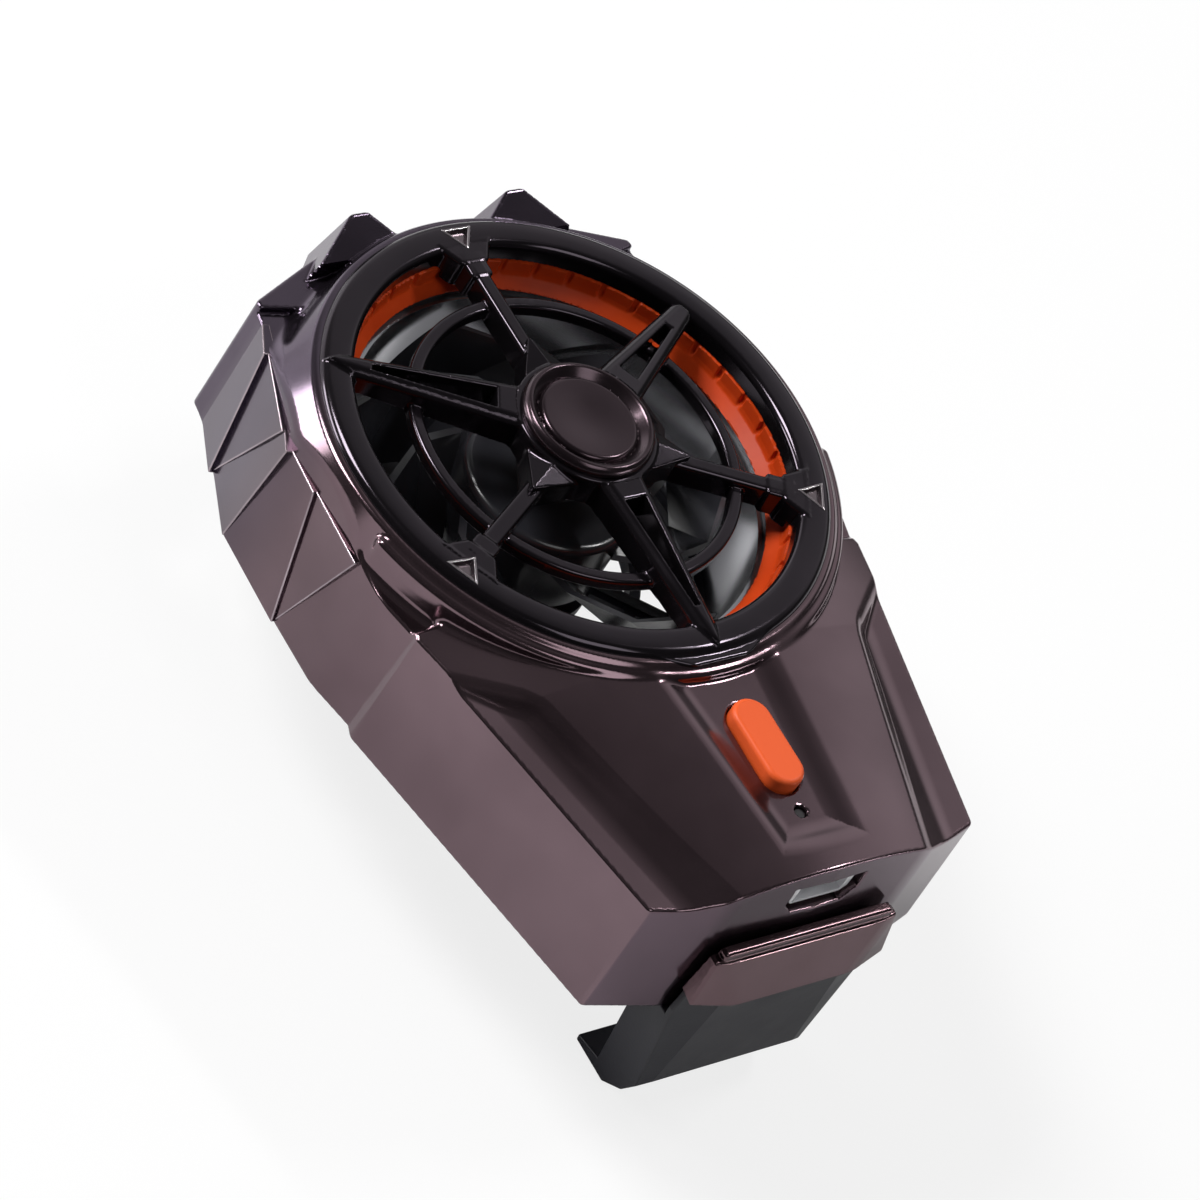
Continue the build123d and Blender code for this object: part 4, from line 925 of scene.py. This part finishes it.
def material(name, colour, metallic, rough, colours=None, roughs=None, bumps=None, specular=None):
    """A finish; colours and roughs are (noise scale, low, high), bumps (scale, distance, strength)."""
    m = bpy.data.materials.new(name)
    m.use_nodes = True
    shader = surface_of(m)
    shader.inputs["Base Color"].default_value = (*colour, 1)
    shader.inputs["Metallic"].default_value = metallic
    shader.inputs["Roughness"].default_value = rough
    if specular is not None:
        shader.inputs["Specular IOR Level"].default_value = specular
    if colours:
        vary_colour(m, *colours)
    if roughs:
        vary_rough(m, *roughs)
    if bumps:
        grain(m, *bumps)
    return m


def paint_shade_where(m, output, start, full, colour):
    """Painted shade: multiplies the base colour where Y of this coordinate runs from start to full."""
    colour_in = surface_of(m).inputs["Base Color"]
    before = colour_in.links[0].from_socket
    place = node(m, "ShaderNodeTexCoord")
    axes = node(m, "ShaderNodeSeparateXYZ")
    share = node(m, "ShaderNodeMapRange")
    share.inputs["From Min"].default_value = start
    share.inputs["From Max"].default_value = full
    shade = node(m, "ShaderNodeMixRGB", blend_type="MULTIPLY")
    shade.inputs["Color2"].default_value = (*colour, 1)
    link(m, place.outputs[output], axes.inputs["Vector"])
    link(m, axes.outputs["Y"], share.inputs["Value"])
    link(m, share.outputs["Result"], shade.inputs["Fac"])
    link(m, before, shade.inputs["Color1"])
    link(m, shade.outputs["Color"], colour_in)


shell_plating = material(
    "shell plating", (0.165, 0.108, 0.122), metallic=0.95, rough=0.16,
    colours=(32.0, (0.125, 0.084, 0.097), (0.2, 0.138, 0.158)), roughs=(90.0, 0.13, 0.19),
)
# Painted shade on the shell: darker and bluer toward the fan end, by place in metres, for the dimmer
# light and bluish reflections there
paint_shade_where(shell_plating, "Object", start=0.014, full=0.026, colour=(0.62, 0.72, 0.84))
# Painted shade: darker on the socket end, by the way it faces, for the shadowed floor those faces reflect
paint_shade_where(shell_plating, "Normal", start=-0.8, full=-0.96, colour=(0.62, 0.6, 0.68))
grille_plating = material(
    "grille plating", (0.04, 0.034, 0.041), metallic=0.92, rough=0.14,
    colours=(60.0, (0.035, 0.03, 0.036), (0.046, 0.038, 0.046)), roughs=(120.0, 0.11, 0.17),
)
# Lighter plating for the bevels of the side plates: a painted highlight on their edges
plate_edge_highlight = material(
    "painted plate edge highlight", (0.34, 0.28, 0.31), metallic=0.92, rough=0.2,
    colours=(120.0, (0.26, 0.21, 0.235), (0.42, 0.35, 0.385)),
)
# Near-white plating for the cups' bevels: a painted highlight on their rims
cup_rim_highlight = material(
    "painted cup rim highlight", (0.62, 0.58, 0.6), metallic=0.92, rough=0.18, roughs=(200.0, 0.14, 0.22)
)
# The cups' faces in a lighter copy of the grille's plating: painted light
cup_plating_painted_light = material(
    "cup plating painted lighter", (0.2, 0.165, 0.18), metallic=0.92, rough=0.16, roughs=(200.0, 0.13, 0.2)
)
disc_plating = material(
    "hub disc", (0.062, 0.044, 0.052), metallic=0.92, rough=0.2, roughs=(200.0, 0.17, 0.24)
)
# The tab's plating has lower colours than the shell's: painted shade like the socket end's, with random
# tone
tab_plating_painted_shade = material(
    "tab plating painted darker", (0.16, 0.105, 0.118), metallic=0.95, rough=0.2,
    colours=(70.0, (0.095, 0.058, 0.064), (0.125, 0.08, 0.09)), roughs=(110.0, 0.17, 0.23),
)
orange_ring = material(
    "orange ring", (0.66, 0.07, 0.012), metallic=0.0, rough=0.4, specular=0.12,
    colours=(160.0, (0.55, 0.048, 0.006), (0.66, 0.068, 0.011)),
)
orange_button = material(
    "orange button", (0.78, 0.105, 0.022), metallic=0.0, rough=0.42, specular=0.25,
    roughs=(150.0, 0.38, 0.47), bumps=(2600.0, 0.00002, 0.35),
)
arm_plastic = material(
    "satin moulding", (0.014, 0.0135, 0.019), metallic=0.0, rough=0.4, specular=0.3,
    roughs=(180.0, 0.36, 0.44), bumps=(3000.0, 0.00002, 0.5),
)
duct_plastic = material(
    "duct moulding", (0.4, 0.4, 0.43), metallic=0.9, rough=0.14, roughs=(160.0, 0.13, 0.2)
)
rotor_plastic = material(
    "rotor moulding", (0.02, 0.02, 0.024), metallic=0.0, rough=0.22, roughs=(140.0, 0.19, 0.27)
)
rubber = material(
    "rubber", (0.018, 0.018, 0.02), metallic=0.0, rough=0.75,
    roughs=(300.0, 0.7, 0.82), bumps=(1800.0, 0.00003, 0.5),
)
board_green = material(
    "board", (0.02, 0.12, 0.06), metallic=0.0, rough=0.4,
    colours=(260.0, (0.015, 0.10, 0.05), (0.025, 0.14, 0.07)),
)
steel = material("steel", (0.55, 0.55, 0.57), metallic=1.0, rough=0.28, roughs=(240.0, 0.23, 0.34))
# Socket shell: steel colour, but only part metal, so its matt white share paints bright reflections into
# the shaded opening
socket_steel_painted_bright = material(
    "socket shell painted bright", (0.85, 0.85, 0.87), metallic=0.6, rough=0.35, roughs=(240.0, 0.3, 0.4)
)
dark_screw = material(
    "dark screw", (0.06, 0.06, 0.065), metallic=0.9, rough=0.35, roughs=(260.0, 0.3, 0.4)
)
ferrite = material(
    "ferrite", (0.05, 0.05, 0.055), metallic=0.3, rough=0.6,
    colours=(500.0, (0.042, 0.042, 0.047), (0.058, 0.058, 0.063)),
)
bronze = material("bronze", (0.5, 0.3, 0.12), metallic=1.0, rough=0.35, roughs=(240.0, 0.3, 0.4))
copper = material("copper", (0.55, 0.2, 0.07), metallic=0.9, rough=0.35, roughs=(400.0, 0.3, 0.42))
lamp_white = material(
    "lamp chip", (0.85, 0.83, 0.7), metallic=0.0, rough=0.35,
    colours=(400.0, (0.82, 0.8, 0.66), (0.87, 0.85, 0.74)),
)
# The clear pin is coloured near black: painted shade for the dark hole it sits in
clear = material(
    "clear pin painted dark", (0.03, 0.028, 0.03), metallic=0.0, rough=0.12, roughs=(300.0, 0.1, 0.15)
)
chip_black = material(
    "chip", (0.02, 0.02, 0.022), metallic=0.0, rough=0.5, roughs=(500.0, 0.44, 0.56)
)
foil = material(
    "foil", (0.5, 0.5, 0.53), metallic=0.8, rough=0.4,
    roughs=(160.0, 0.33, 0.47), bumps=(700.0, 0.00005, 0.4),
)

by_slot = {
    "plated_shell": shell_plating,
    "plated_grille": grille_plating,
    "orange_plastic": orange_ring,
    "board": board_green,
    "lamp_white": lamp_white,
    "black_plastic": arm_plastic,
    "rotor_plastic": rotor_plastic,
    "magnet": ferrite,
    "steel": steel,
    "bronze": bronze,
    "copper": copper,
    "dark_screw": dark_screw,
    "black_rubber": rubber,
    "clear_plastic": clear,
    "chip": chip_black,
    "cell_foil": foil,
}
by_node = {
    "button_cap": orange_button,
    "fan_duct": duct_plastic,
    "pull_tab": tab_plating_painted_shade,
    "led_board": chip_black,
    "usb_socket": socket_steel_painted_bright,
}

# Finishes and softened edges on the solids

SOFTENED = ("clamp_arm", "fixed_claw")
SOFT_EDGE = 0.3
SOFT_SEGMENTS = 2
SOFT_ANGLE = 28
WELD_REACH = 0.002


def soften(o):
    """Rounds the edges of a moulded solid."""
    weld = o.modifiers.new("join", "WELD")
    weld.merge_threshold = WELD_REACH / MM
    bevel = o.modifiers.new("round", "BEVEL")
    bevel.width = SOFT_EDGE / MM
    bevel.segments = SOFT_SEGMENTS
    bevel.limit_method = "ANGLE"
    bevel.angle_limit = math.radians(SOFT_ANGLE)
    bevel.use_clamp_overlap = True
    bevel.harden_normals = True


slots = {s["node"]: s["material_slot"] for s in frame["record"]["subparts"]}
for name, o in frame["nodes"].items():
    o.data.materials.clear()
    o.data.materials.append(by_node.get(name) or by_slot[slots[name]])
    if name in SOFTENED:
        soften(o)


# Smooth pieces in place of solids; step is the grid's, in millimetres

casing = smooth_piece("casing", casing_field, CASING_BOX, step=0.24, share=0.42, mat=shell_plating)
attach(casing, "housing")
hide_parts("front_shell")
grille = smooth_piece("grille", grille_field, GRILLE_BOX, step=0.22, share=0.35, mat=grille_plating)
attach(grille, "housing")
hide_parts("fan_grille")
hub = smooth_piece("hub", hub_field, HUB_BOX, step=0.16, share=0.5, mat=disc_plating)
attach(hub, "housing")
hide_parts("hub_cap")
glow_ring = smooth_piece(
    "orange_ring", light_ring_field, GLOW_BOX, step=0.22, share=0.4, mat=orange_ring
)
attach(glow_ring, "housing")
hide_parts("light_ring")
tab = smooth_piece("tab", tab_field, TAB_BOX, step=0.18, share=0.5, mat=tab_plating_painted_shade)
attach(tab, "clamp")
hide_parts("pull_tab")


# Crisp plates on the side walls: wedges with their corners as (y, z, height over the wall)

PLATE_TOP = -4.85
PLATE_FOOT = -20.1
WEDGE_FOOT = PLATE_FOOT + 0.2
PLATE_ROOT = -0.8
PLATE_EDGE = 0.14
SLANT_RUN = 0.3367
SLANT_NORMAL = (0.948, 0.319)
SLANTED_PLATES = (
    [(22.3, PLATE_TOP, 0.02), (22.3, PLATE_FOOT, 0.02), (15.95, PLATE_FOOT, 0.6), (18.6, PLATE_TOP, 0.6)],
    [(18.9, PLATE_TOP, 0.1), (16.1, WEDGE_FOOT, 0.12), (9.4, PLATE_TOP, 0.52)],
    [(11.0, PLATE_TOP, 0.02), (16.4, PLATE_FOOT, 0.0), (8.5, PLATE_FOOT, 0.55), (7.0, PLATE_TOP, 0.6)],
)
STRAIGHT_PLATES = (
    [(7.4, PLATE_TOP, 0.05), (8.8, PLATE_FOOT, 0.05), (-2.2, PLATE_FOOT, 0.42), (1.8, PLATE_TOP, 0.52)],
    [(2.3, PLATE_TOP, 0.12), (-2.2, WEDGE_FOOT, 0.1), (-6.9, PLATE_TOP, 0.6)],
)


def slanted_point(side, y, z, high):
    """A point this high over the slanted wall on the side given by the sign."""
    lean = high - LEAN * (z - BACK)
    x = NECK[0] + (NECK[1] - y) * SLANT_RUN + SLANT_NORMAL[0] * lean
    return (side * x, y + SLANT_NORMAL[1] * lean, z)


def straight_point(side, y, z, high):
    """A point this high over the straight wall on the side given by the sign."""
    return (side * (HALF_WIDTH + (high - LEAN * (z - BACK))), y, z)


plate_solids = []
for side in (-1, 1):
    for point_on, outlines in ((slanted_point, SLANTED_PLATES), (straight_point, STRAIGHT_PLATES)):
        for corners in outlines:
            outer = [point_on(side, y, z, high) for y, z, high in corners]
            inner = [point_on(side, y, z, PLATE_ROOT) for y, z, high in corners]
            plate_solids.append((outer, inner))
# The plates' bevels take the lighter edge plating, a painted highlight
plates = crisp_piece("side_plates", plate_solids, PLATE_EDGE, shell_plating, plate_edge_highlight)
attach(plates, "housing")


# Crisp three-sided cups in the ring: each rim loop is (inset, height)

CUP_LOOPS = ((0.0, -0.9), (0.0, 0.04), (0.22, 0.04), (0.42, -0.55))
CUP_FLOOR_RISE = 0.02
CUP_FLOOR_DROP = 0.3
CUP_EDGE = 0.06


def cup_loop(turn, inset, z):
    """The three corners of a cup's outline, moved in by the inset."""
    tip = CUP_TIP + inset * CUP_SLANT / CUP_HALF
    base = CUP_BASE - inset
    half = CUP_HALF * (base - tip) / CUP_LENGTH
    return [tuple(turn @ Vector(p)) for p in ((tip, 0, z), (base, half, z), (base, -half, z))]


cup_solids = []
for k in range(SPOKES):
    turn = Matrix.Rotation(math.radians(ROD_ANGLE + SPOKE_TURN * k), 3, "Z")
    loops = [cup_loop(turn, inset, z) for inset, z in CUP_LOOPS]
    for i in range(3):
        j = (i + 1) % 3
        cup_solids.append(([loop[i] for loop in loops], [loop[j] for loop in loops]))
    low = [Vector(p) for p in loops[-1]]
    upper_face = [tuple(p + Vector((0, 0, CUP_FLOOR_RISE))) for p in low]
    lower_face = [tuple(p - Vector((0, 0, CUP_FLOOR_DROP))) for p in low]
    cup_solids.append((upper_face, lower_face))
# Both cup materials are lighter than the grille's plating: painted highlight
cups = crisp_piece("ring_cups", cup_solids, CUP_EDGE, cup_plating_painted_light, cup_rim_highlight)
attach(cups, "housing")


# Floor: white to the camera and plain matt to everything else

FLOOR_HALF = 3
FLOOR_DROP = 0.0002
FLOOR_GLOW = 0.8

floor_mat = material("floor", (0.9, 0.9, 0.9), metallic=0.0, rough=0.9, specular=0.0)
glow = node(floor_mat, "ShaderNodeEmission")
glow.inputs["Color"].default_value = (1, 1, 1, 1)
seen = node(floor_mat, "ShaderNodeLightPath")
glow_share = node(floor_mat, "ShaderNodeMath", operation="MULTIPLY")
glow_share.inputs[1].default_value = FLOOR_GLOW
both = node(floor_mat, "ShaderNodeMixShader")
floor_out = floor_mat.node_tree.nodes["Material Output"]
link(floor_mat, seen.outputs["Is Camera Ray"], glow_share.inputs[0])
link(floor_mat, glow_share.outputs["Value"], both.inputs["Fac"])
link(floor_mat, surface_of(floor_mat).outputs["BSDF"], both.inputs[1])
link(floor_mat, glow.outputs["Emission"], both.inputs[2])
link(floor_mat, both.outputs["Shader"], floor_out.inputs["Surface"])

floor_corners = [(FLOOR_HALF * i, FLOOR_HALF * j, 0) for i, j in ((-1, -1), (1, -1), (1, 1), (-1, 1))]
floor_mesh = bpy.data.meshes.new("floor")
floor_mesh.from_pydata(floor_corners, [], [(0, 1, 2, 3)])
floor_mesh.materials.append(floor_mat)
floor = bpy.data.objects.new("floor", floor_mesh)
bpy.context.collection.objects.link(floor)
floor.location.z = -FLOOR_DROP


# World: white to the camera, a shaded room in reflections; ramp stops are (place, brightness)

SKY_TOWARD = (0.4, 0.3, 0.0)
SKY_ACROSS = ((0.0, 0.03), (0.25, 0.05), (0.58, 0.06), (0.79, 0.2), (0.87, 0.48), (0.93, 0.8), (1.0, 0.9))
SKY_HEIGHT = ((0.0, 0.0), (0.24, 0.06), (0.42, 1.0), (1.0, 1.0))
SKY_BEHIND = ((0.0, 0.05), (0.55, 0.08), (0.8, 0.3), (0.92, 1.0), (1.0, 1.6))

world = bpy.data.worlds.new("studio")
bpy.context.scene.world = world
world.use_nodes = True
for n in list(world.node_tree.nodes):
    world.node_tree.nodes.remove(n)


def sky_ramp(stops, source):
    """A grey ramp through these stops, read at the source's value."""
    ramp = node(world, "ShaderNodeValToRGB")
    ramp.color_ramp.interpolation = "EASE"
    elements = ramp.color_ramp.elements
    for element, (place, value) in zip(elements, (stops[0], stops[-1])):
        element.position = place
        element.color = (value, value, value, 1)
    for place, value in stops[1:-1]:
        elements.new(place).color = (value, value, value, 1)
    link(world, source, ramp.inputs["Fac"])
    return ramp.outputs["Color"]


coord = node(world, "ShaderNodeTexCoord")
parts = node(world, "ShaderNodeSeparateXYZ")
link(world, coord.outputs["Generated"], parts.inputs["Vector"])
toward = node(world, "ShaderNodeVectorMath", operation="DOT_PRODUCT")
toward.inputs[1].default_value = SKY_TOWARD
link(world, coord.outputs["Generated"], toward.inputs[0])
centred = node(world, "ShaderNodeMath", operation="ADD")
centred.inputs[1].default_value = 0.5
link(world, toward.outputs["Value"], centred.inputs[0])
blend = node(world, "ShaderNodeMixRGB", blend_type="MIX")
link(world, sky_ramp(SKY_HEIGHT, parts.outputs["Z"]), blend.inputs["Fac"])
link(world, sky_ramp(SKY_BEHIND, parts.outputs["Y"]), blend.inputs["Color1"])
link(world, sky_ramp(SKY_ACROSS, centred.outputs["Value"]), blend.inputs["Color2"])
room = node(world, "ShaderNodeBackground")
room.inputs["Strength"].default_value = 1.0
link(world, blend.outputs["Color"], room.inputs["Color"])
white = node(world, "ShaderNodeBackground")
white.inputs["Color"].default_value = (1, 1, 1, 1)
white.inputs["Strength"].default_value = 1.0
camera_ray = node(world, "ShaderNodeLightPath")
mix = node(world, "ShaderNodeMixShader")
world_out = node(world, "ShaderNodeOutputWorld")
link(world, camera_ray.outputs["Is Camera Ray"], mix.inputs["Fac"])
link(world, room.outputs["Background"], mix.inputs[1])
link(world, white.outputs["Background"], mix.inputs[2])
link(world, mix.outputs["Shader"], world_out.inputs["Surface"])


# Lamps, in metres and watts


def lamp(name, place, target_z, size, power):
    """An area lamp that looks at a point this high over the middle of the footprint."""
    data = bpy.data.lights.new(name, "AREA")
    data.shape = "RECTANGLE"
    data.size, data.size_y = size
    data.energy = power
    o = bpy.data.objects.new(name, data)
    bpy.context.collection.objects.link(o)
    o.location = place
    aim = Vector((0, 0, target_z)) - Vector(place)
    o.rotation_euler = aim.to_track_quat("-Z", "Y").to_euler()


lamp("key", (-0.45, 0.62, 0.8), target_z=0.02, size=(0.35, 0.35), power=10.5)
lamp("back", (-0.6, 0.78, 0.2), target_z=0.03, size=(0.4, 0.2), power=4.5)
lamp("fill", (0.0, -0.7, 0.85), target_z=0.02, size=(0.45, 0.45), power=1.6)
lamp("edge", (0.67, 0.02, 0.87), target_z=0.03, size=(0.25, 0.05), power=2.6)
lamp("low", (0.62, -0.78, 0.08), target_z=0.03, size=(0.35, 0.05), power=1.0)


# Camera, solved from the photo; places in metres, lens in millimetres

LENS = 150.51
SENSOR = 36.0
CAMERA_RIGHT = (0.77338769, -0.48436179, 0.40898061)
CAMERA_UP = (0.17028529, 0.78016587, 0.60195028)
CAMERA_BACK = (-0.61063443, -0.39589755, 0.68585037)
CAMERA_PLACE = (-0.3019, -0.19575, 0.3652)

cam_data = bpy.data.cameras.new("camera")
cam_data.lens = LENS
cam_data.sensor_width = SENSOR
cam_data.sensor_fit = "HORIZONTAL"
cam_data.clip_start = 0.01
cam_data.clip_end = 10.0
cam = bpy.data.objects.new("camera", cam_data)
bpy.context.collection.objects.link(cam)
cam.matrix_world = Matrix((*zip(CAMERA_RIGHT, CAMERA_UP, CAMERA_BACK, CAMERA_PLACE), (0, 0, 0, 1)))
bpy.context.scene.camera = cam
bpy.context.scene.view_settings.view_transform = "Standard"
